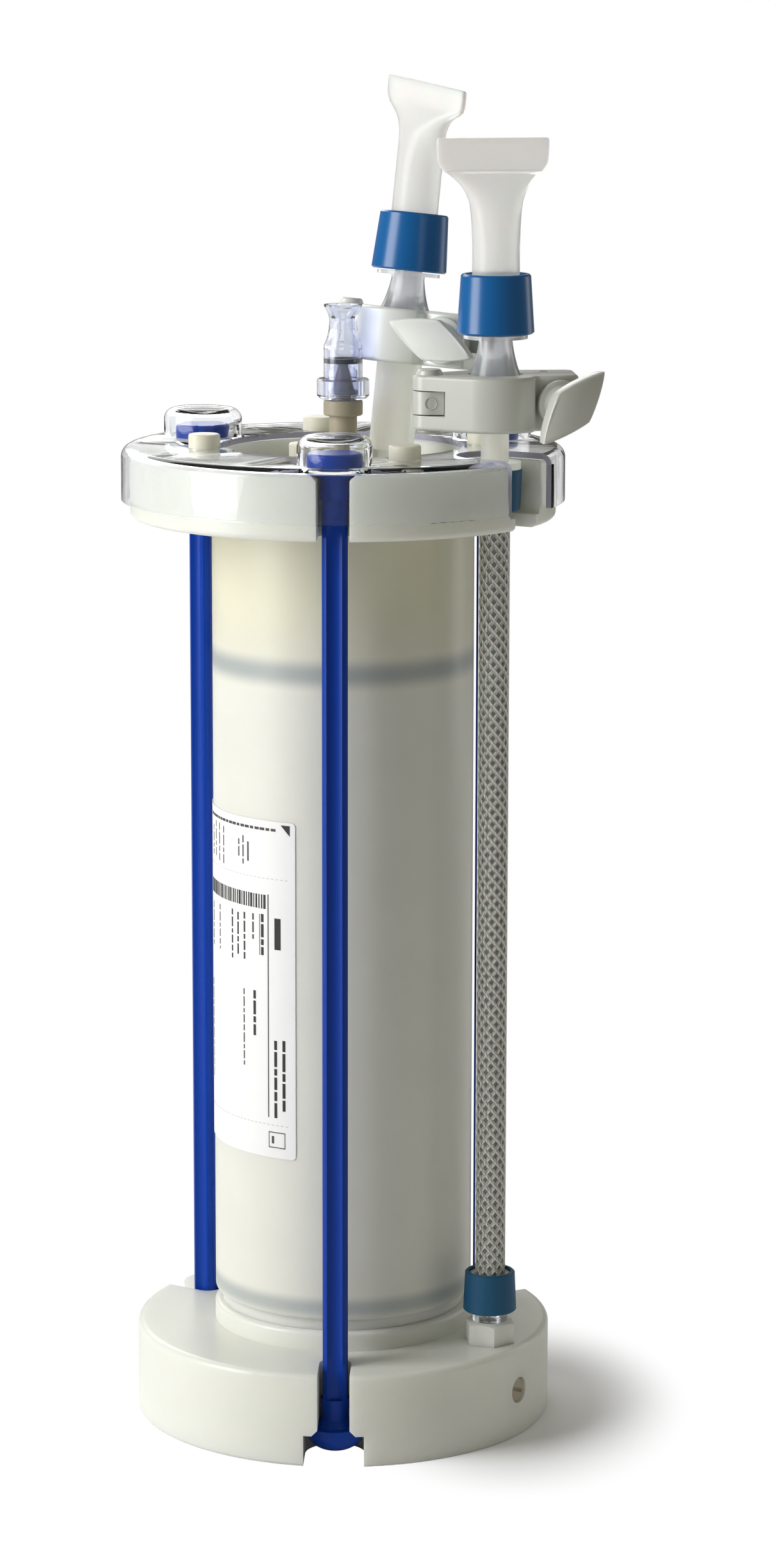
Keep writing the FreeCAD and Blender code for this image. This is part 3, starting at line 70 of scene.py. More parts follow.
class ColumnSizes(bpy.types.PropertyGroup):
    hose_circle: length("Hose circle", "Distance of the hose from the column's centre line", 60.3)
    hose_angle: turn_angle("Hose angle", "Direction of the hose around the column", -30.0)
    hose_radius: length("Hose radius", "Outer radius of the transfer hose", 5.25)
    braid_radius: length("Braid radius", "Radius of the braid inside the hose wall", 4.35)
    braid_lead: length("Braid lead", "Rise of one braid strand per turn", 34.0)
    nut_collar: length("Nut collar", "Radius of the wing nut's collar", 8.0)
    nut_neck: length("Nut neck", "Radius of the wing nut's neck", 5.9)
    wing_length: length("Wing length", "Long diagonal of the wing nut's grip", 31.5)
    wing_width: length("Wing width", "Short diagonal of the wing nut's grip", 14.5)
    cover_notch: length("Cover notch", "Half width of the clear cover's hose notch", 13.0)
    cover_hole: length("Cover hole", "Radius of the clear cover's central hole", 41.0)
    label_radius: length("Label radius", "Outer radius of the label on the tube", 45.3)


class ColumnColours(bpy.types.PropertyGroup):
    milky: tone("Milky plastic", "Base, ring and adapters", (0.83, 0.84, 0.77))
    tube: tone("Column tube", "Wall of the column tube over the packed bed", (0.79, 0.79, 0.72))
    tube_head: tone("Tube head", "Wall of the column tube above the packed bed", (0.76, 0.74, 0.58))
    # Painted shade: grey band painted on the tube where the dark seal shows through its wall
    painted_seal_shade: tone("Seal band", "Seal seen through the tube wall", (0.27, 0.32, 0.35))
    rod: tone("Tie rods", "Royal blue moulding", (0.0, 0.040, 0.34))
    sleeve: tone("Tubing sleeves", "Bright blue sleeves at the top", (0.0, 0.115, 0.36))
    collar: tone("Hose collars", "Dark teal collars of the hose", (0.0, 0.085, 0.19))
    clamp_grey: tone("Outlet clamp", "Light grey clamp", (0.60, 0.61, 0.56))
    clamp_white: tone("Inlet clamp", "Off-white clamp", (0.84, 0.86, 0.82))


def colours():
    return bpy.context.scene.column_colours


def sizes():
    return bpy.context.scene.column_sizes


# Materials

def node(tree, kind, inputs=None, **settings):
    """Add a shader node; a socket given as an input is linked, anything else is set."""
    made = tree.nodes.new(kind)
    for key, value in settings.items():
        setattr(made, key, value)
    for key, value in (inputs or {}).items():
        socket = made.inputs[key]
        if isinstance(value, bpy.types.NodeSocket):
            tree.links.new(value, socket)
        else:
            socket.default_value = value
    return made


def rgba(colour):
    return (*colour[:3], 1.0)


def blank_material(name):
    material = bpy.data.materials.new(name)
    material.use_nodes = True
    material.node_tree.nodes.clear()
    return material, material.node_tree


def moulded(name, colour, roughness=0.42, scatter=0.0, grain=0.15, mottle=0.04, shine=0.5, tint=None):
    """Moulded plastic: faint clouding in colour and gloss, fine skin texture, optional inner glow."""
    material, tree = blank_material(name)
    place = node(tree, "ShaderNodeTexCoord").outputs["Object"]
    cloud = node(tree, "ShaderNodeTexNoise", {"Vector": place, "Scale": 45.0, "Detail": 3.0})
    shade = node(tree, "ShaderNodeMapRange", {"Value": cloud.outputs["Fac"], "To Min": 1.0 - mottle,
                                              "To Max": 1.0 + mottle})
    base = tint(tree, place) if tint else colour[:3]
    tinted = node(tree, "ShaderNodeVectorMath", {0: base, "Scale": shade.outputs["Result"]},
                  operation="SCALE")
    skin = node(tree, "ShaderNodeTexNoise", {"Vector": place, "Scale": 1400.0, "Detail": 2.0})
    bump = node(tree, "ShaderNodeBump", {"Height": skin.outputs["Fac"], "Strength": grain,
                                         "Distance": 0.0001})
    gloss = node(tree, "ShaderNodeMapRange", {"Value": cloud.outputs["Fac"], "To Min": roughness - 0.05,
                                              "To Max": roughness + 0.06})
    shader = node(tree, "ShaderNodeBsdfPrincipled", {
        "Base Color": tinted.outputs["Vector"], "Roughness": gloss.outputs["Result"],
        "Normal": bump.outputs["Normal"], "Subsurface Weight": scatter, "Subsurface Scale": 0.009,
        "Subsurface Radius": (1.0, 1.0, 0.8), "Specular IOR Level": shine})
    node(tree, "ShaderNodeOutputMaterial", {"Surface": shader.outputs["BSDF"]})
    return material


# Painted shade: the grey that clear plastic is painted where it is seen edge on
PAINTED_EDGE_SHADE = (0.22, 0.24, 0.28, 1.0)
FAINT_MILK = (0.7, 0.72, 0.75)


def clear(name, colour, roughness=0.04, ior=1.46, milk=0.0, milk_colour=FAINT_MILK, outline=0.8,
          shine=0.5, glow=0.0):
    """Clear plastic that bends what is behind it; outline is painted shade that darkens it edge on and
    milk clouds it.

    Glow is painted light that makes the milky share shine by itself. Shadow rays and diffuse rays go
    straight through its clear share, so that what stands behind it is lit once only.
    """
    material, tree = blank_material(name)
    # Painted shade: darker where the surface is seen edge on, as strong as outline
    facing = node(tree, "ShaderNodeLayerWeight", {"Blend": 0.5}).outputs["Facing"]
    rim = node(tree, "ShaderNodeMapRange", {"Value": facing, "From Min": 0.62, "From Max": 0.97,
                                            "To Max": outline},
               interpolation_type="SMOOTHSTEP").outputs["Result"]
    tint = blended(tree, rim, rgba(colour), PAINTED_EDGE_SHADE)
    place = node(tree, "ShaderNodeTexCoord").outputs["Object"]
    wave = node(tree, "ShaderNodeTexNoise", {"Vector": place, "Scale": 90.0, "Detail": 1.0})
    bump = node(tree, "ShaderNodeBump", {"Height": wave.outputs["Fac"], "Strength": 0.08,
                                         "Distance": 0.0005})
    shader = node(tree, "ShaderNodeBsdfPrincipled", {
        "Base Color": tint, "Roughness": roughness, "IOR": ior, "Transmission Weight": 1.0,
        "Specular IOR Level": shine, "Normal": bump.outputs["Normal"]}).outputs["BSDF"]
    if milk:
        # Painted light: emission in the milky share, as strong as glow
        cloudy = node(tree, "ShaderNodeBsdfPrincipled", {
            "Base Color": rgba(milk_colour), "Roughness": 0.3, "Subsurface Weight": 0.6,
            "Subsurface Scale": 0.004, "Emission Color": rgba(milk_colour), "Emission Strength": glow,
            "Normal": bump.outputs["Normal"]})
        shader = node(tree, "ShaderNodeMixShader", {0: milk, 1: shader,
                                                    2: cloudy.outputs["BSDF"]}).outputs[0]
    through = node(tree, "ShaderNodeBsdfTransparent", {"Color": rgba(colour)})
    ray = node(tree, "ShaderNodeLightPath")
    unseen = node(tree, "ShaderNodeMath", {0: ray.outputs["Is Shadow Ray"],
                                           1: ray.outputs["Is Diffuse Ray"]}, operation="MAXIMUM")
    passes = node(tree, "ShaderNodeMath", {0: unseen.outputs[0], 1: 1.0 - milk}, operation="MULTIPLY")
    mixed = node(tree, "ShaderNodeMixShader", {0: passes.outputs[0], 1: shader,
                                               2: through.outputs["BSDF"]})
    node(tree, "ShaderNodeOutputMaterial", {"Surface": mixed.outputs["Shader"]})
    return material


def blended(tree, factor, first, second):
    """Mix two colours, each a constant or another node's output."""
    made = tree.nodes.new("ShaderNodeMix")
    made.data_type = "RGBA"
    tree.links.new(factor, made.inputs[0])
    ends = [socket for socket in made.inputs if socket.type == "RGBA"]
    for socket, value in zip(ends, (first, second)):
        if isinstance(value, bpy.types.NodeSocket):
            tree.links.new(value, socket)
        else:
            socket.default_value = value
    return next(socket for socket in made.outputs if socket.type == "RGBA")


# Heights on the tube in metres: where its colour turns warmer above the bed, and for each seal
# the height, the half spread and the strength of the painted band of shade where it shows through
BED_FADE = (0.255, 0.292)
SEAL_BANDS = ((0.268, 0.0065, 0.7), (0.0475, 0.005, 0.6))
BAND_CORE = 0.0005


def tube_tint(tree, place):
    """Colour of the tube by height: paler over the bed, warmer above, and a painted band of shade where
    a seal shows through the wall.
    """
    c = colours()
    height = node(tree, "ShaderNodeSeparateXYZ", {0: place}).outputs["Z"]
    rise = node(tree, "ShaderNodeMapRange", {"Value": height, "From Min": BED_FADE[0],
                                             "From Max": BED_FADE[1]},
                interpolation_type="SMOOTHSTEP").outputs["Result"]
    mixed = blended(tree, rise, rgba(c.tube), rgba(c.tube_head))
    for level, spread, depth in SEAL_BANDS:
        offset = node(tree, "ShaderNodeMath", {0: height, 1: level}, operation="SUBTRACT")
        away = node(tree, "ShaderNodeMath", {0: offset.outputs[0]}, operation="ABSOLUTE")
        band = node(tree, "ShaderNodeMapRange", {"Value": away.outputs[0], "From Min": BAND_CORE,
                                                 "From Max": spread, "To Min": depth, "To Max": 0.0},
                    interpolation_type="SMOOTHSTEP").outputs["Result"]
        # Painted shade of the seal, blended into the tube's own colour
        mixed = blended(tree, band, mixed, rgba(c.painted_seal_shade))
    return mixed


def finish_node(name, material):
    """Give a carried-over solid its material."""
    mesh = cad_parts[name].data
    mesh.materials.clear()
    mesh.materials.append(material)


CLAMP_PARTS = ("front_jaw", "rear_jaw", "hinge_pin", "swing_bolt")


def clamp_parts(joint):
    return tuple(f"{joint}_clamp_{part}" for part in CLAMP_PARTS)


class COLUMN_OT_materials(bpy.types.Operator):
    """Give every carried-over solid its plastic, rubber or clear finish"""
    bl_idname = "column.materials"
    bl_label = "Solid finishes"

    def execute(self, context):
        c = colours()
        milky = moulded("milky plastic", c.milky, 0.3, scatter=0.5, grain=0.08)
        groups = {
            milky: ("base_lid", "top_ring", "top_adapter", "bottom_adapter", "hose_hex_union",
                    "lower_hose_collet", "upper_hose_collet",
                    "outlet_tubing_collet", "inlet_tubing_collet"),
            # Painted light: glow makes the pipes shine as if lit through
            clear("cloudy pipe", (0.92, 0.93, 0.90), 0.3, ior=1.2, milk=0.6,
                  milk_colour=(0.82, 0.84, 0.78), outline=0.1, glow=0.22): ("outlet_pipe",
                                                                            "inlet_pipe"),
            moulded("tube plastic", c.tube, 0.3, scatter=0.2, tint=tube_tint): ("column_tube",),
            moulded("bead bed", (0.8, 0.8, 0.74), 0.8): ("resin_bed",),
            moulded("woven screen", (0.7, 0.7, 0.66), 0.7): ("bottom_support_screen",
                                                             "top_support_screen"),
            moulded("black rubber", (0.02, 0.02, 0.022), 0.55): ("bottom_o_ring", "top_o_ring",
                                                                 "channel_plug_seal"),
            moulded("white rubber", (0.75, 0.75, 0.72), 0.55): ("outlet_gasket", "inlet_gasket"),
            moulded("dark rubber", (0.02, 0.02, 0.03), 0.5): ("vent_seal",),
            moulded("beige plastic", (0.42, 0.37, 0.27), 0.45): ("vent_fitting", "channel_plug_screw"),
            moulded("ivory plastic", (0.90, 0.86, 0.70), 0.35, scatter=0.4): ("ring_screws",
                                                                              "purge_plug"),
            moulded("rod blue", c.rod, 0.3, shine=0.22): ("tie_rod_front", "tie_rod_back_left",
                                                         "tie_rod_back_right"),
            moulded("collar teal", c.collar, 0.5): ("lower_hose_collar", "upper_hose_collar"),
            moulded("sleeve blue", c.sleeve, 0.25, shine=0.6): ("outlet_tubing_sleeve",
                                                                "inlet_tubing_sleeve"),
            moulded("stopper grey", (0.03, 0.03, 0.05), 0.45): ("vent_stopper",),
            moulded("label film", (0.91, 0.91, 0.91), 0.3): ("label",),
            moulded("pin steel", (0.5, 0.5, 0.5), 0.3): ("outlet_clamp_pivot_pin",
                                                         "inlet_clamp_pivot_pin"),
            moulded("clamp grey", c.clamp_grey, 0.3, shine=0.9): clamp_parts("outlet"),
            moulded("clamp white", c.clamp_white, 0.3, shine=0.9): clamp_parts("inlet"),
            clear("adapter plastic", (0.90, 0.91, 0.93), 0.12, milk=0.28, outline=0.6): (
                "outlet_tubing_adapter", "inlet_tubing_adapter"),
            clear("barb plastic", (0.93, 0.94, 0.97)): ("lower_hose_barb",),
            clear("vent plastic", (0.84, 0.86, 0.95), milk=0.04): ("vent_housing", "vent_lock_ring"),
        }
        for material, names in groups.items():
            for name in names:
                finish_node(name, material)
        return {"FINISHED"}


# Shapes drawn with edit-mode operators

MERGE = 1e-6
LOFT_MERGE = 1e-7
SMOOTH_ANGLE = 40.0
TURN_STEPS = 48


def draw(points):
    """Draw a closed line in a new mesh by extruding from its first point; leaves edit mode on."""
    bpy.ops.object.select_all(action="DESELECT")
    bpy.ops.mesh.primitive_plane_add(size=MM, location=points[0])
    bpy.ops.object.transform_apply(location=True)
    bpy.ops.object.mode_set(mode="EDIT")
    bpy.ops.mesh.select_all(action="SELECT")
    bpy.ops.mesh.merge(type="CENTER")
    extend(points)
    close_line(len(points))


def extend(points):
    """Carry the selected point on along the line."""
    for here, there in zip(points, points[1:]):
        step = Vector(there) - Vector(here)
        bpy.ops.mesh.extrude_region_move(TRANSFORM_OT_translate={"value": step})


def edit_mesh():
    """Mesh of the object in edit mode."""
    return bmesh.from_edit_mesh(bpy.context.object.data)


def close_line(count):
    """Join the two ends of the line drawn last."""
    mesh = edit_mesh()
    mesh.verts.ensure_lookup_table()
    total = len(mesh.verts)
    for vert in mesh.verts:
        vert.select = vert.index in (total - count, total - 1)
    mesh.select_flush_mode()
    bmesh.update_edit_mesh(bpy.context.object.data)
    bpy.ops.mesh.edge_face_add()


def end_shape(name, material, smooth=SMOOTH_ANGLE):
    """Turn the drawn piece's faces outwards, name it and give it its material."""
    bpy.ops.mesh.select_all(action="SELECT")
    bpy.ops.mesh.normals_make_consistent(inside=False)
    bpy.ops.object.mode_set(mode="OBJECT")
    piece = bpy.context.object
    piece.name = name
    piece.data.name = name
    piece.data.materials.append(material)
    bpy.ops.object.shade_smooth_by_angle(angle=math.radians(smooth))
    return piece


def turned(name, profile, centre, material):
    """Closed solid of revolution from a closed (radius, height) outline, standing on centre."""
    draw([(r * MM, 0.0, z * MM) for r, z in profile])
    bpy.ops.mesh.select_all(action="SELECT")
    bpy.ops.mesh.spin(steps=TURN_STEPS, angle=math.tau, center=(0, 0, 0), axis=(0, 0, 1))
    bpy.ops.mesh.select_all(action="SELECT")
    bpy.ops.mesh.remove_doubles(threshold=MERGE)
    bpy.ops.transform.translate(value=centre)
    return end_shape(name, material)


def loop_points(count, z, half_x, half_y, power, shift=0.0, lean=0.0):
    """Closed outline at one height: power 2 is an ellipse, 1 a lozenge, large ones a rounded bar.

    Sizes are in millimetres; shift moves it sideways and lean tilts it.
    """
    points = []
    for i in range(count):
        t = math.tau * i / count
        c, s = math.cos(t), math.sin(t)
        reach = (abs(c) ** power + abs(s) ** power) ** (-1.0 / power)
        x = half_x * c * reach
        points.append(((x + shift) * MM, half_y * s * reach * MM, (z + lean * x) * MM))
    return points


def loft(name, loops, where, material, smooth):
    """Skin a row of outlines, close both ends and set the piece in its place."""
    draw(loops[0])
    for before, points in zip(loops, loops[1:]):
        bpy.ops.mesh.select_all(action="DESELECT")
        mesh = edit_mesh()
        mesh.verts.ensure_lookup_table()
        first = len(mesh.verts) - len(points)
        mesh.verts[first].select = True
        mesh.select_flush_mode()
        bmesh.update_edit_mesh(bpy.context.object.data)
        step = Vector(points[0]) - Vector(before[0])
        bpy.ops.mesh.duplicate_move(TRANSFORM_OT_translate={"value": step})
        extend(points)
        close_line(len(points))
    bpy.ops.mesh.select_all(action="SELECT")
    bpy.ops.mesh.bridge_edge_loops()
    bpy.ops.mesh.select_all(action="SELECT")
    bpy.ops.mesh.fill_holes(sides=0)
    bpy.ops.mesh.select_all(action="SELECT")
    bpy.ops.mesh.remove_doubles(threshold=LOFT_MERGE)
    piece = end_shape(name, material, smooth)
    piece.matrix_world = where
    bpy.ops.object.transform_apply(location=True, rotation=True, scale=True)
    return piece


def clamp_place(joint):
    """Frame of a clamp joint: origin in the gasket, Z along the tubing and X away from the hinge."""
    data = CLAMPS[joint]
    axis = data["axis"].normalized()
    across = around(1.0, data["turn"], 0.0)
    side = (across - axis * across.dot(axis)).normalized()
    place = Matrix((side, axis.cross(side), axis)).transposed().to_4x4()
    place.translation = data["origin"] * MM
    return place


def around(circle, degrees, z):
    """Point on a circle around the column's centre line, at height z."""
    angle = math.radians(degrees)
    return Vector((circle * math.cos(angle), circle * math.sin(angle), z))


def leaning(angle, azimuth):
    """Unit vector leaning by angle from upright, towards azimuth, both in degrees."""
    a, b = math.radians(angle), math.radians(azimuth)
    return Vector((math.sin(a) * math.cos(b), math.sin(a) * math.sin(b), math.cos(a)))


# The two clamp joints, in millimetres and degrees: gasket, line of the tubing, direction of the
# clamp away from its hinge, swing of the bolt at rest and turn of the wing nut's grip on it
INLET_AXIS = leaning(6.9, 37.1)
INLET_FOOT = around(19.7, 37.9, 334.5)
INLET_PIPE_LENGTH = 42.3
CLAMPS = {
    "outlet": {"origin": around(60.3, -30.0, 358.6), "axis": Vector((0.0, 0.0, 1.0)),
               "turn": 6.0, "rest": 13.0, "wing": 48.0},
    "inlet": {"origin": INLET_FOOT + INLET_AXIS * INLET_PIPE_LENGTH, "axis": INLET_AXIS,
              "turn": -29.0, "rest": 13.0, "wing": -17.5},
}
# The swing bolt's pivot in a clamp's frame, and the wing nut's distance from it
PIVOT = Vector((17.0, 8.5, 0.0))
NUT_FACE = 16.9

# The transfer hose in millimetres; each layer of strands has a direction, a distance from the
# braid's radius and a width
HOSE_LOW, HOSE_HIGH = 43.7, 336.2
HOSE_BORE_R = 3.2
CORE_GAP, WALL_GAP = 0.25, 0.45
YARN_LAYERS = ((1, 0.0, 1.8), (-1, 0.12, 1.8))
# Painted highlights: narrow light strips along the lower edge of each strand
HIGHLIGHT_LAYERS = ((1, 0.08, 0.3), (-1, 0.25, 0.5))
STRANDS_PER_LAYER = 8
STRAND_THICKNESS = 0.2
STRAND_STEPS_PER_TURN = 26


class COLUMN_OT_hose(bpy.types.Operator):
    """Model the braided transfer hose: core painted near-black as shade, two layers of strands with
    painted highlight strips, and clear wall
    """
    bl_idname = "column.hose"
    bl_label = "Braided hose"

    def execute(self, context):
        s = sizes()
        centre = Vector((s.hose_circle * math.cos(s.hose_angle),
                         s.hose_circle * math.sin(s.hose_angle), 0.0))
        outer, braid = s.hose_radius / MM, s.braid_radius / MM
        # Painted shade: the near-black core stands for the shade inside the hose, seen between the
        # strands
        core = turned("hose_core", self.ring(HOSE_BORE_R, braid - CORE_GAP), centre,
                      moulded("hose core", (0.09, 0.095, 0.11), 0.35))
        wall = turned("hose_wall", self.ring(braid + WALL_GAP, outer), centre,
                      clear("hose wall", (0.96, 0.96, 0.94), 0.0, ior=1.08, milk=0.14,
                            milk_colour=(0.66, 0.66, 0.60), outline=0.2))
        yarn = moulded("braid yarn", (0.50, 0.50, 0.46), 0.4, mottle=0.1)
        # Painted highlight: a light copy of the yarn for the strips along the strands' edges
        bright = moulded("braid painted highlight", (0.86, 0.86, 0.83), 0.35)
        strands = self.strands("hose_strands", centre, yarn, YARN_LAYERS)
        edges = self.strands("hose_strand_highlights", centre, bright, HIGHLIGHT_LAYERS)
        for piece in (core, wall, strands, edges):
            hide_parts("braided_hose")
            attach(piece, "column")
        return {"FINISHED"}

    def ring(self, inner, outer):
        """Outline of a tube wall over the hose's whole length."""
        return [(inner, HOSE_LOW), (outer, HOSE_LOW), (outer, HOSE_HIGH), (inner, HOSE_HIGH)]

    def strands(self, name, centre, material, layers):
        """Flat strands: one per layer by a screw modifier, then copies around the hose."""
        braid = sizes().braid_radius / MM
        made = []
        for direction, rise, width in layers:
            first = self.strand(direction, (braid + rise) * MM, width * MM)
            made.append(first)
            for index in range(1, STRANDS_PER_LAYER):
                bpy.ops.object.select_all(action="DESELECT")
                first.select_set(True)
                context_active(first)
                bpy.ops.object.duplicate()
                copy = bpy.context.object
                copy.rotation_euler.z = math.tau * index / STRANDS_PER_LAYER
                bpy.ops.object.transform_apply(rotation=True)
                made.append(copy)
        piece = joined(name, made, material)
        piece.location = centre
        bpy.ops.object.transform_apply(location=True)
        bpy.ops.object.shade_smooth_by_angle(angle=math.radians(SMOOTH_ANGLE))
        return piece

    def strand(self, direction, radius, width):
        """One strand from end to end: the edges of a small box, swept around the hose."""
        low, high = HOSE_LOW * MM, HOSE_HIGH * MM
        bpy.ops.object.select_all(action="DESELECT")
        bpy.ops.mesh.primitive_cube_add(size=1.0, location=(radius, 0.0, low + width / 2))
        strand = bpy.context.object
        bpy.ops.transform.resize(value=(STRAND_THICKNESS * MM, STRAND_THICKNESS * MM, width))
        bpy.ops.object.transform_apply(location=True, scale=True)
        bpy.ops.object.mode_set(mode="EDIT")
        mesh = edit_mesh()
        for face in mesh.faces:
            face.select = face.normal.y > -0.5
        bpy.ops.mesh.delete(type="ONLY_FACE")
        bpy.ops.object.mode_set(mode="OBJECT")
        turns = (high - low) / sizes().braid_lead
        screw = strand.modifiers.new("strand", "SCREW")
        screw.angle = direction * math.tau * turns
        screw.screw_offset = high - low - width
        screw.steps = int(turns * STRAND_STEPS_PER_TURN)
        screw.render_steps = screw.steps
        screw.use_merge_vertices = False
        bpy.ops.object.modifier_apply(modifier=screw.name)
        bpy.ops.object.mode_set(mode="EDIT")
        bpy.ops.mesh.select_all(action="SELECT")
        bpy.ops.mesh.fill_holes(sides=0)
        bpy.ops.mesh.select_all(action="SELECT")
        bpy.ops.mesh.normals_make_consistent(inside=False)
        bpy.ops.object.mode_set(mode="OBJECT")
        return strand


def context_active(piece):
    """Make a piece the active object."""
    bpy.context.view_layer.objects.active = piece


def joined(name, pieces, material):
    """Join several objects into one piece of one material."""
    bpy.ops.object.select_all(action="DESELECT")
    for piece in pieces:
        piece.select_set(True)
    context_active(pieces[0])
    bpy.ops.object.join()
    piece = bpy.context.object
    piece.name = name
    piece.data.name = name
    piece.data.materials.clear()
    piece.data.materials.append(material)
    return piece


# Height above the clamp, half width, half thickness and outline power of each tubing section
TUBING_R = 7.95
OUTLET_SECTIONS = (
    (22.7, TUBING_R, TUBING_R, 2.0), (41.8, TUBING_R, TUBING_R, 2.0), (51.1, 7.85, 7.85, 2.0),
    (58.8, 8.2, 7.5, 2.0), (64.0, 8.65, 6.75, 2.1), (66.5, 9.1, 6.1, 2.2), (69.1, 10.1, 5.1, 2.3),
    (70.7, 11.0, 4.4, 2.5),
    (72.2, 12.0, 3.7, 2.8), (73.8, 13.6, 2.9, 3.2), (75.0, 14.9, 2.4, 3.8), (75.5, 15.6, 2.3, 4.0),
    (75.7, 16.0, 2.6, 4.1), (76.2, 16.6, 2.5, 4.4), (76.4, 16.8, 2.0, 4.5),
    (77.6, 17.9, 1.7, 5.0), (79.4, 18.6, 1.5, 6.0), (82.0, 18.9, 1.5, 6.0), (84.6, 19.0, 1.5, 6.0),
    (86.6, 18.9, 1.5, 6.0), (87.1, 18.5, 1.1, 6.0))
INLET_SECTIONS = (
    (22.2, TUBING_R, TUBING_R, 2.0), (42.0, TUBING_R, TUBING_R, 2.0), (58.0, TUBING_R, 7.85, 2.0),
    (66.0, 8.6, 6.9, 2.1),
    (69.6, 9.6, 5.9, 2.2), (72.2, 10.9, 4.8, 2.4), (74.4, 12.8, 3.6, 2.8), (76.0, 14.8, 2.7, 3.5),
    (77.4, 16.9, 2.0, 4.5), (78.6, 18.2, 1.6, 5.5), (80.5, 18.9, 1.5, 6.0), (83.5, 19.0, 1.5, 6.0),
    (85.6, 18.9, 1.5, 6.0), (86.1, 18.5, 1.1, 6.0))
# Sections, turn of the flat end, sideways shift of its weld and slope of the weld
TUBING_FORMS = {"outlet": (OUTLET_SECTIONS, 7.0, -1.3, 0.0), "inlet": (INLET_SECTIONS, -16.0, 0.0, 7.0)}
FLATTENING = 11.0
TUBING_POINTS = 48
TUBING_SMOOTH = 50.0


class COLUMN_OT_tubing(bpy.types.Operator):
    """Model the two soft tube ends, pressed flat and welded shut"""
    bl_idname = "column.tubing"
    bl_label = "Sealed tubing ends"

    def execute(self, context):
        # Painted light: glow makes the soft tubing shine as if lit through
        soft = clear("soft tubing", (0.93, 0.93, 0.91), 0.3, ior=1.2, milk=0.45,
                     milk_colour=(0.80, 0.80, 0.78), outline=0.25, glow=0.1)
        for joint, (sections, turn, shift, skew) in TUBING_FORMS.items():
            loops = []
            for z, half_x, half_y, power in sections:
                share = min(1.0, max(0.0, (half_x - TUBING_R) / FLATTENING))
                loops.append(loop_points(TUBING_POINTS, z, half_x, half_y, power, shift * share,
                                         -math.tan(math.radians(skew)) * share))
            where = clamp_place(joint) @ Matrix.Rotation(math.radians(turn), 4, "Z")
            piece = loft(joint + "_tubing_end", loops, where, soft, TUBING_SMOOTH)
            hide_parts(joint + "_sealed_tubing")
            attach(piece, "column")
        return {"FINISHED"}


GRIP_POINTS = 64
GRIP_SMOOTH = 35.0


class COLUMN_OT_wing_nuts(bpy.types.Operator):
    """Model the two wing nuts: round collar, flaring neck and lozenge grip"""
    bl_idname = "column.wing_nuts"
    bl_label = "Wing nuts"

    def execute(self, context):
        s = sizes()
        collar, neck = s.nut_collar / MM, s.nut_neck / MM
        a, b = s.wing_length / MM / 2, s.wing_width / MM / 2
        c = colours()
        finishes = {"outlet": moulded("outlet nut", c.clamp_grey, 0.35, shine=0.8),
                    "inlet": moulded("inlet nut", c.clamp_white, 0.4)}
        # Distance from the clamp's ear, half width, half depth and outline power
        sections = (
            (0.0, collar - 0.5, collar - 0.5, 2.0), (0.15, collar - 0.15, collar - 0.15, 2.0),
            (0.5, collar, collar, 2.0), (2.2, collar, collar, 2.0),
            (2.6, collar - 0.25, collar - 0.25, 2.0), (2.75, collar - 0.7, collar - 0.7, 2.0),
            (2.9, neck + 0.5, neck + 0.5, 2.0), (3.5, neck + 0.1, neck + 0.1, 2.0),
            (4.8, neck + 0.1, neck, 2.0), (6.2, neck + 1.2, neck + 0.1, 1.9),
            (7.4, neck + 3.2, neck + 0.4, 1.65), (8.4, a - 3.2, b - 0.6, 1.4),
            (9.2, a - 1.0, b - 0.25, 1.25), (10.2, a - 0.3, b - 0.1, 1.22),
            (14.4, a, b, 1.2), (14.8, a - 0.25, b - 0.15, 1.2), (15.0, a - 0.7, b - 0.45, 1.2))
        for joint, data in CLAMPS.items():
            loops = [loop_points(GRIP_POINTS, *section) for section in sections]
            swing = Matrix.Rotation(math.radians(data["rest"]), 4, "Z")
            reach = Matrix.Translation((0.0, -NUT_FACE * MM, 0.0))
            stand = Matrix.Translation(PIVOT * MM) @ swing @ reach
            t = math.radians(data["wing"])
            side, front = Vector((math.cos(t), 0.0, math.sin(t))), Vector((0.0, -1.0, 0.0))
            grip = Matrix((side, front.cross(side), front)).transposed().to_4x4()
            piece = loft(joint + "_wing_nut", loops, clamp_place(joint) @ stand @ grip,
                         finishes[joint], GRIP_SMOOTH)
            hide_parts(joint + "_clamp_wing_nut")
            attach(piece, joint + "_nut")
        return {"FINISHED"}


CUT_TOLERANCE = 0.06 * MM
UPRIGHT = 0.3
COVER_SMOOTH = 35.0


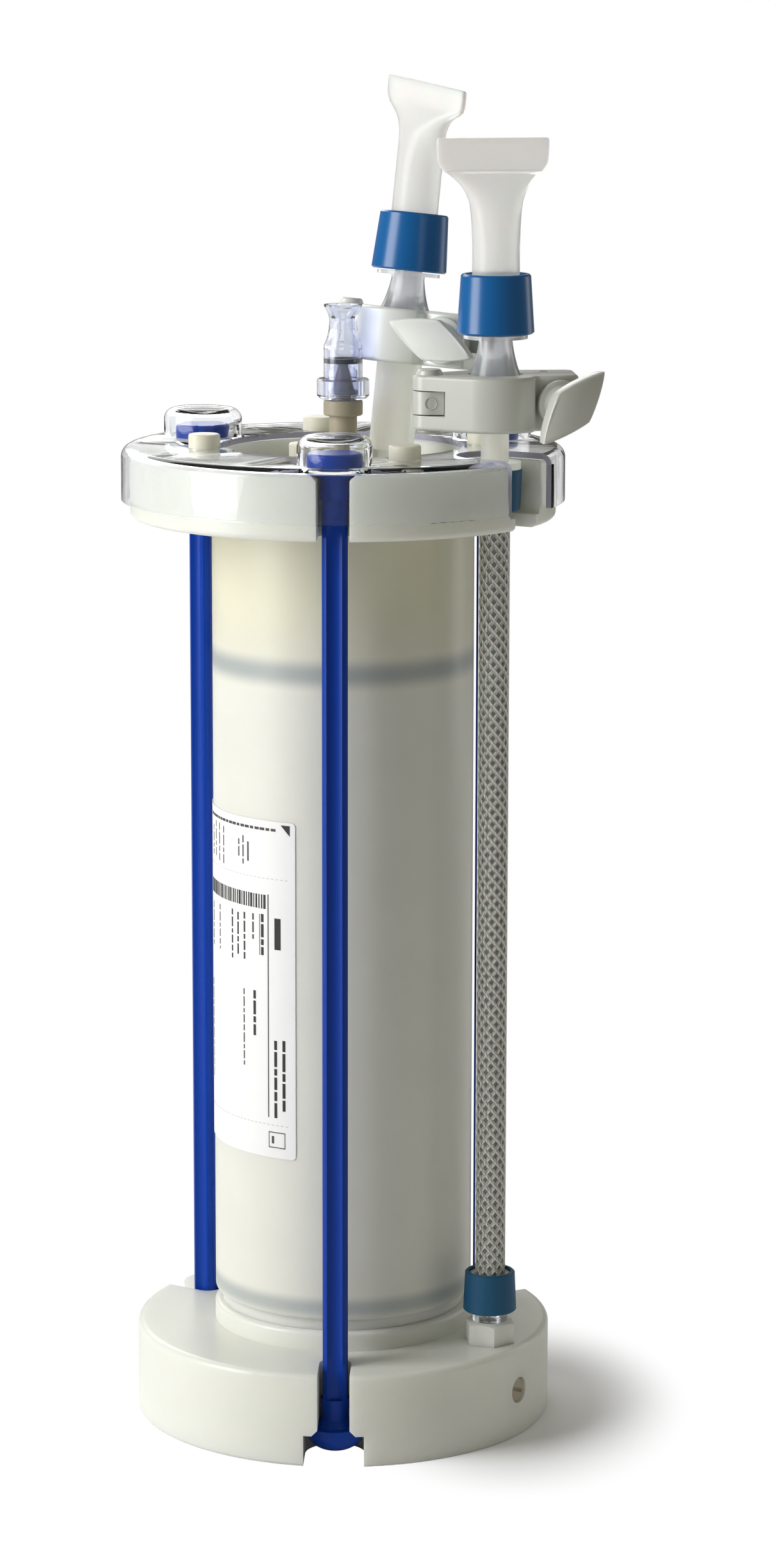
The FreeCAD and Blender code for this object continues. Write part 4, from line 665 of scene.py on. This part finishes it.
class COLUMN_OT_cover(bpy.types.Operator):
    """Carry the clear cover over with frosted faces where it was cut"""
    bl_idname = "column.cover"
    bl_label = "Clear cover"

    def execute(self, context):
        s = sizes()
        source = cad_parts["clear_cover"]
        bpy.ops.object.select_all(action="DESELECT")
        source.select_set(True)
        context_active(source)
        bpy.ops.object.duplicate()
        piece = bpy.context.object
        piece.name = "cover_sheet"
        bpy.ops.object.mode_set(mode="EDIT")
        bpy.ops.mesh.select_all(action="SELECT")
        bpy.ops.mesh.remove_doubles(threshold=MERGE)
        bpy.ops.object.mode_set(mode="OBJECT")
        piece.data.materials.clear()
        piece.data.materials.append(clear("cover plastic", (0.95, 0.96, 0.97), 0.03, ior=1.28,
                                          outline=0.35, shine=0.4))
        piece.data.materials.append(moulded("cut plastic", (0.38, 0.37, 0.48), 0.5, scatter=0.2))
        turn = Matrix.Rotation(-s.hose_angle, 4, "Z")
        for face in piece.data.polygons:
            place = turn @ face.center
            past_round_end = place.x > s.hose_circle
            across = abs(place.y) if past_round_end else math.hypot(place.x - s.hose_circle, place.y)
            on_notch = abs(across - s.cover_notch) < CUT_TOLERANCE
            in_notch = on_notch and place.x > 0 and abs(face.normal.z) < UPRIGHT
            in_hole = abs(math.hypot(place.x, place.y) - s.cover_hole) < CUT_TOLERANCE
            if in_notch or in_hole:
                face.material_index = 1
        bpy.ops.object.shade_smooth_by_angle(angle=math.radians(COVER_SMOOTH))
        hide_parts("clear_cover")
        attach(piece, "column")
        return {"FINISHED"}


# Plain bars of the label: direction around the tube in degrees, width, bottom and top in
# millimetres, ink (0 dark, 1 grey, 2 pale) and length of a dash, or 0 where the bar is whole
SINGLE_BARS = (
    (238.4, 0.40, 113.7, 191.6, 1, 0), (243.2, 2.40, 172.7, 183.6, 0, 0),
    (246.2, 1.10, 115.8, 141.2, 0, 5.5), (242.1, 1.10, 113.6, 140.9, 0, 4.6),
    (235.3, 1.10, 170.2, 184.5, 0, 4.0), (233.8, 0.22, 170.1, 184.4, 0, 0),
    (230.0, 0.70, 174.3, 184.2, 1, 3.2), (224.6, 0.75, 167.0, 184.0, 0, 3.4),
    (220.2, 0.75, 167.9, 183.4, 0, 3.8), (215.8, 0.75, 166.8, 184.0, 0, 3.0),
    (203.4, 0.70, 168.0, 183.7, 1, 2.8), (192.3, 0.70, 167.7, 183.0, 1, 3.3),
    (230.8, 1.10, 141.6, 157.4, 0, 4.2), (224.2, 0.55, 130.3, 157.2, 1, 3.0),
    (190.5, 0.50, 120.5, 155.5, 1, 3.5), (227.1, 0.65, 202.1, 208.8, 0, 0),
    (223.9, 0.60, 200.0, 210.6, 1, 3.6), (221.0, 0.60, 201.8, 209.2, 1, 2.9),
    (208.0, 0.60, 198.7, 211.7, 1, 3.3), (203.2, 0.60, 199.1, 212.2, 1, 3.6),
    (198.1, 0.60, 199.7, 212.3, 1, 3.1), (193.4, 0.60, 199.9, 210.3, 1, 2.8),
    (238.6, 0.25, 103.2, 108.6, 1, 0), (246.6, 0.25, 103.2, 108.6, 1, 0),
    (242.6, 6.40, 103.1, 103.4, 1, 0), (242.6, 6.40, 108.4, 108.7, 1, 0),
    (240.6, 0.9, 104.6, 107.2, 1, 0))
STRIPE_WIDTHS = (0.55, 0.95, 0.4, 0.75, 0.5)
STRIPES = tuple((190.0 + 1.5 * i, STRIPE_WIDTHS[i % 5], 186.4, 191.3, 0, 0) for i in range(32))
TOP_DASH_WIDTHS = (2.0, 1.5, 1.85)
TOP_DASHES = tuple((191.0 + 2.95 * i, TOP_DASH_WIDTHS[i % 3], 213.6, 214.5, 1, 0) for i in range(18))
PERFORATION = tuple((190.0 + 2.3 * i, 0.9, level, level + 0.14, 2, 0)
                    for level in (197.0, 111.0) for i in range(26))
LABEL_BARS = SINGLE_BARS + STRIPES + TOP_DASHES + PERFORATION
CORNER_MARK = (245.0, 249.2, 212.4, 216.0)
CORNER_SIDE = 1.2
CORNER_TIP = 0.05
DASH_LENGTHS = (0.7, 1.15, 0.5, 0.95)
DASH_GAP = 0.7
SHORTEST_DASH = 0.8
PRINT_THICKNESS = 0.1
PRINT_LIFT = 0.02


class COLUMN_OT_label_print(bpy.types.Operator):
    """Lay plain bars and a corner mark on the label; they say nothing"""
    bl_idname = "column.label_print"
    bl_label = "Label bars"

    def execute(self, context):
        r = sizes().label_radius
        inks = [moulded("ink dark", (0.016, 0.014, 0.014), 0.5),
                moulded("ink grey", (0.05, 0.05, 0.05), 0.5),
                moulded("ink pale", (0.45, 0.45, 0.45), 0.5)]
        names = ("label_bars_dark", "label_bars_grey", "label_perforation")
        bars = {0: [], 1: [], 2: []}
        for angle, width, low, high, shade, dash in LABEL_BARS:
            for top, length_down in self.dashes(low, high, dash):
                bars[shade].append(self.plate(r, angle, width, top - length_down, top))
        bars[0].append(self.corner(r, *CORNER_MARK))
        for shade, pieces in bars.items():
            piece = joined(names[shade], pieces, inks[shade])
            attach(piece, "column")
        return {"FINISHED"}

    def dashes(self, low, high, dash):
        """Tops and lengths of a broken bar, from the top down; dash 0 is one whole bar."""
        if not dash:
            return [(high, high - low)]
        pieces, top, index = [], high, 0
        while top > low + SHORTEST_DASH:
            size = min(dash * DASH_LENGTHS[index % len(DASH_LENGTHS)], top - low)
            pieces.append((top, size))
            top -= size + DASH_GAP
            index += 1
        return pieces

    def plate(self, r, angle, width, low, high):
        """Thin upright plate that stands a little out of the label."""
        a = math.radians(angle)
        bpy.ops.object.select_all(action="DESELECT")
        middle = r + PRINT_LIFT * MM
        place = (middle * math.cos(a), middle * math.sin(a), (low + high) / 2 * MM)
        bpy.ops.mesh.primitive_cube_add(size=1.0, rotation=(0.0, 0.0, a), location=place)
        bpy.ops.transform.resize(value=(PRINT_THICKNESS * MM, width * MM, (high - low) * MM),
                                 orient_type="LOCAL")
        bpy.ops.object.transform_apply(location=True, rotation=True, scale=True)
        return bpy.context.object

    def corner(self, r, start, end, low, high):
        """Triangular corner mark: a plate whose lower corner on the far side is collapsed."""
        piece = self.plate(r, (start + end) / 2, (end - start) * math.radians(r / MM), low, high)
        bpy.ops.object.mode_set(mode="EDIT")
        mesh = edit_mesh()
        edge = max(vert.co.x for vert in mesh.verts)
        for vert in mesh.verts:
            is_low = vert.co.z < (low + high) / 2 * MM
            vert.select = is_low and abs(vert.co.x - edge) > CORNER_SIDE * MM
        mesh.select_flush_mode()
        bmesh.update_edit_mesh(piece.data)
        bpy.ops.transform.translate(value=(0.0, 0.0, (high - low - CORNER_TIP) * MM))
        bpy.ops.object.mode_set(mode="OBJECT")
        return piece


# The round mark on each clamp's front, in the clamp's own frame
MARK_R = 2.0
MARK_BEAD_R = 0.16
MARK_PLACE = Vector((-22.0, -5.62, 0.0))


class COLUMN_OT_marks(bpy.types.Operator):
    """Raise the small plain mould marks on the clamps"""
    bl_idname = "column.marks"
    bl_label = "Mould marks"

    def execute(self, context):
        c = colours()
        finishes = {"outlet": moulded("outlet mark", c.clamp_grey, 0.4),
                    "inlet": moulded("inlet mark", c.clamp_white, 0.4)}
        for joint in CLAMPS:
            bpy.ops.object.select_all(action="DESELECT")
            bpy.ops.mesh.primitive_torus_add(
                major_radius=MARK_R * MM, minor_radius=MARK_BEAD_R * MM, major_segments=32,
                minor_segments=8, rotation=(math.radians(90), 0.0, 0.0), location=MARK_PLACE * MM)
            piece = bpy.context.object
            bpy.ops.object.transform_apply(location=True, rotation=True)
            piece.name = joint + "_mould_mark"
            piece.data.name = piece.name
            piece.data.materials.append(finishes[joint])
            piece.matrix_world = clamp_place(joint)
            bpy.ops.object.transform_apply(location=True, rotation=True, scale=True)
            bpy.ops.object.shade_smooth()
            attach(piece, "column")
        return {"FINISHED"}


# Stage

# Name, place, power in watts and size of each lamp; all of them point at LIT_POINT
LAMPS = (("key light", (-1.25, -0.55, 0.75), 20.0, (0.8, 1.3)),
         ("side light", (1.2, 0.75, 0.45), 2.6, (0.5, 1.4)),
         ("back light", (-0.5, 1.3, 1.0), 9.0, (1.2, 0.8)))
LIT_POINT = Vector((0.0, 0.0, 0.22))
WARM_SKY = (1.0, 0.97, 0.84, 1.0)
SKY_STRENGTH = 0.20
WHITE = (1.0, 1.0, 1.0, 1.0)
FLOOR_SIZE = 6.0
CAMERA_PLACE = (0.072035, -1.515767, 0.509862)
CAMERA_LENS = 102.419
CAMERA_TURN, CAMERA_DIP, CAMERA_ROLL = 2.181, 10.7174, 0.0863
CAMERA_REACH = 20.0


class COLUMN_OT_stage(bpy.types.Operator):
    """Add the floor, the soft studio light and the camera"""
    bl_idname = "column.stage"
    bl_label = "Stage"

    def execute(self, context):
        scene = context.scene
        bpy.ops.object.select_all(action="DESELECT")
        bpy.ops.mesh.primitive_plane_add(size=FLOOR_SIZE, location=(0.0, 0.0, 0.0))
        floor = context.object
        floor.name = "floor"
        floor.data.materials.append(floor_material())
        for name, place, power, size in LAMPS:
            bpy.ops.object.light_add(type="AREA", location=place)
            lamp = context.object
            lamp.name = name
            lamp.data.energy = power
            lamp.data.shape = "RECTANGLE"
            lamp.data.size, lamp.data.size_y = size
            aim = LIT_POINT - Vector(place)
            lamp.rotation_euler = aim.to_track_quat("-Z", "Y").to_euler()
        world = bpy.data.worlds.new("studio")
        scene.world = world
        world.use_nodes = True
        tree = world.node_tree
        tree.nodes.clear()
        sky = node(tree, "ShaderNodeBackground", {"Color": WARM_SKY, "Strength": SKY_STRENGTH})
        white = node(tree, "ShaderNodeBackground", {"Color": WHITE, "Strength": 1.0})
        mixed = node(tree, "ShaderNodeMixShader", {0: seen_directly(tree), 1: sky.outputs[0],
                                                   2: white.outputs[0]})
        node(tree, "ShaderNodeOutputWorld", {"Surface": mixed.outputs[0]})
        scene.view_settings.view_transform = "Standard"
        bpy.ops.object.camera_add(location=CAMERA_PLACE)
        camera = context.object
        camera.data.lens = CAMERA_LENS
        camera.data.clip_end = CAMERA_REACH
        turn = (Matrix.Rotation(math.radians(CAMERA_TURN), 4, "Z")
                @ Matrix.Rotation(math.radians(90 - CAMERA_DIP), 4, "X")
                @ Matrix.Rotation(math.radians(CAMERA_ROLL), 4, "Z"))
        camera.rotation_euler = turn.to_euler()
        scene.camera = camera
        return {"FINISHED"}


def seen_directly(tree):
    """1 for camera rays and for rays that reach here through clear plastic."""
    ray = node(tree, "ShaderNodeLightPath").outputs
    seen = node(tree, "ShaderNodeMath", {0: ray["Is Camera Ray"], 1: ray["Is Transmission Ray"]},
                operation="MAXIMUM")
    return seen.outputs[0]


# The oval of paper that shows the shadow: its middle, its flattening, and the distances where
# the white begins and is full
SHADOW_MIDDLE = (0.06, 0.0, 0.0)
SHADOW_FLATTENING = (1.0, 0.62, 1.0)
SHADOW_FROM, SHADOW_TO = 0.026, 0.064
WHITE_LEAST = 0.05
PAPER = (0.9, 0.9, 0.9, 1.0)


def floor_material():
    """White paper that keeps the object's shadow near it and turns pure white further off."""
    material, tree = blank_material("paper floor")
    place = node(tree, "ShaderNodeTexCoord").outputs["Object"]
    moved = node(tree, "ShaderNodeVectorMath", {0: place, 1: SHADOW_MIDDLE}, operation="SUBTRACT")
    oval = node(tree, "ShaderNodeVectorMath", {0: moved.outputs["Vector"], 1: SHADOW_FLATTENING},
                operation="MULTIPLY")
    away = node(tree, "ShaderNodeVectorMath", {0: oval.outputs["Vector"]}, operation="LENGTH")
    far = node(tree, "ShaderNodeMapRange", {"Value": away.outputs["Value"], "From Min": SHADOW_FROM,
                                            "From Max": SHADOW_TO, "To Min": WHITE_LEAST,
                                            "To Max": 1.0},
               interpolation_type="SMOOTHSTEP").outputs["Result"]
    paper = node(tree, "ShaderNodeBsdfDiffuse", {"Color": PAPER})
    glow = node(tree, "ShaderNodeEmission", {"Color": WHITE, "Strength": 1.0})
    share = node(tree, "ShaderNodeMath", {0: seen_directly(tree), 1: far}, operation="MULTIPLY")
    mixed = node(tree, "ShaderNodeMixShader", {0: share.outputs[0], 1: paper.outputs[0],
                                               2: glow.outputs[0]})
    node(tree, "ShaderNodeOutputMaterial", {"Surface": mixed.outputs[0]})
    return material


class COLUMN_PT_panel(bpy.types.Panel):
    """Lists the steps that build the column's visible pieces"""
    bl_idname = "COLUMN_PT_panel"
    bl_label = "Chromatography Column"
    bl_space_type = "VIEW_3D"
    bl_region_type = "UI"
    bl_category = "Column"

    def draw(self, context):
        for step in STEPS:
            self.layout.operator(step.bl_idname)


STEPS = (COLUMN_OT_materials, COLUMN_OT_hose, COLUMN_OT_tubing, COLUMN_OT_wing_nuts, COLUMN_OT_cover,
         COLUMN_OT_label_print, COLUMN_OT_marks, COLUMN_OT_stage)
CLASSES = (ColumnSizes, ColumnColours) + STEPS + (COLUMN_PT_panel,)


def register():
    for cls in CLASSES:
        bpy.utils.register_class(cls)
    bpy.types.Scene.column_sizes = bpy.props.PointerProperty(type=ColumnSizes)
    bpy.types.Scene.column_colours = bpy.props.PointerProperty(type=ColumnColours)


def unregister():
    del bpy.types.Scene.column_colours
    del bpy.types.Scene.column_sizes
    for cls in reversed(CLASSES):
        bpy.utils.unregister_class(cls)


def main():
    register()
    for step in STEPS:
        category, operator = step.bl_idname.split(".")
        getattr(getattr(bpy.ops, category), operator)()


if __name__ == "__main__":
    main()
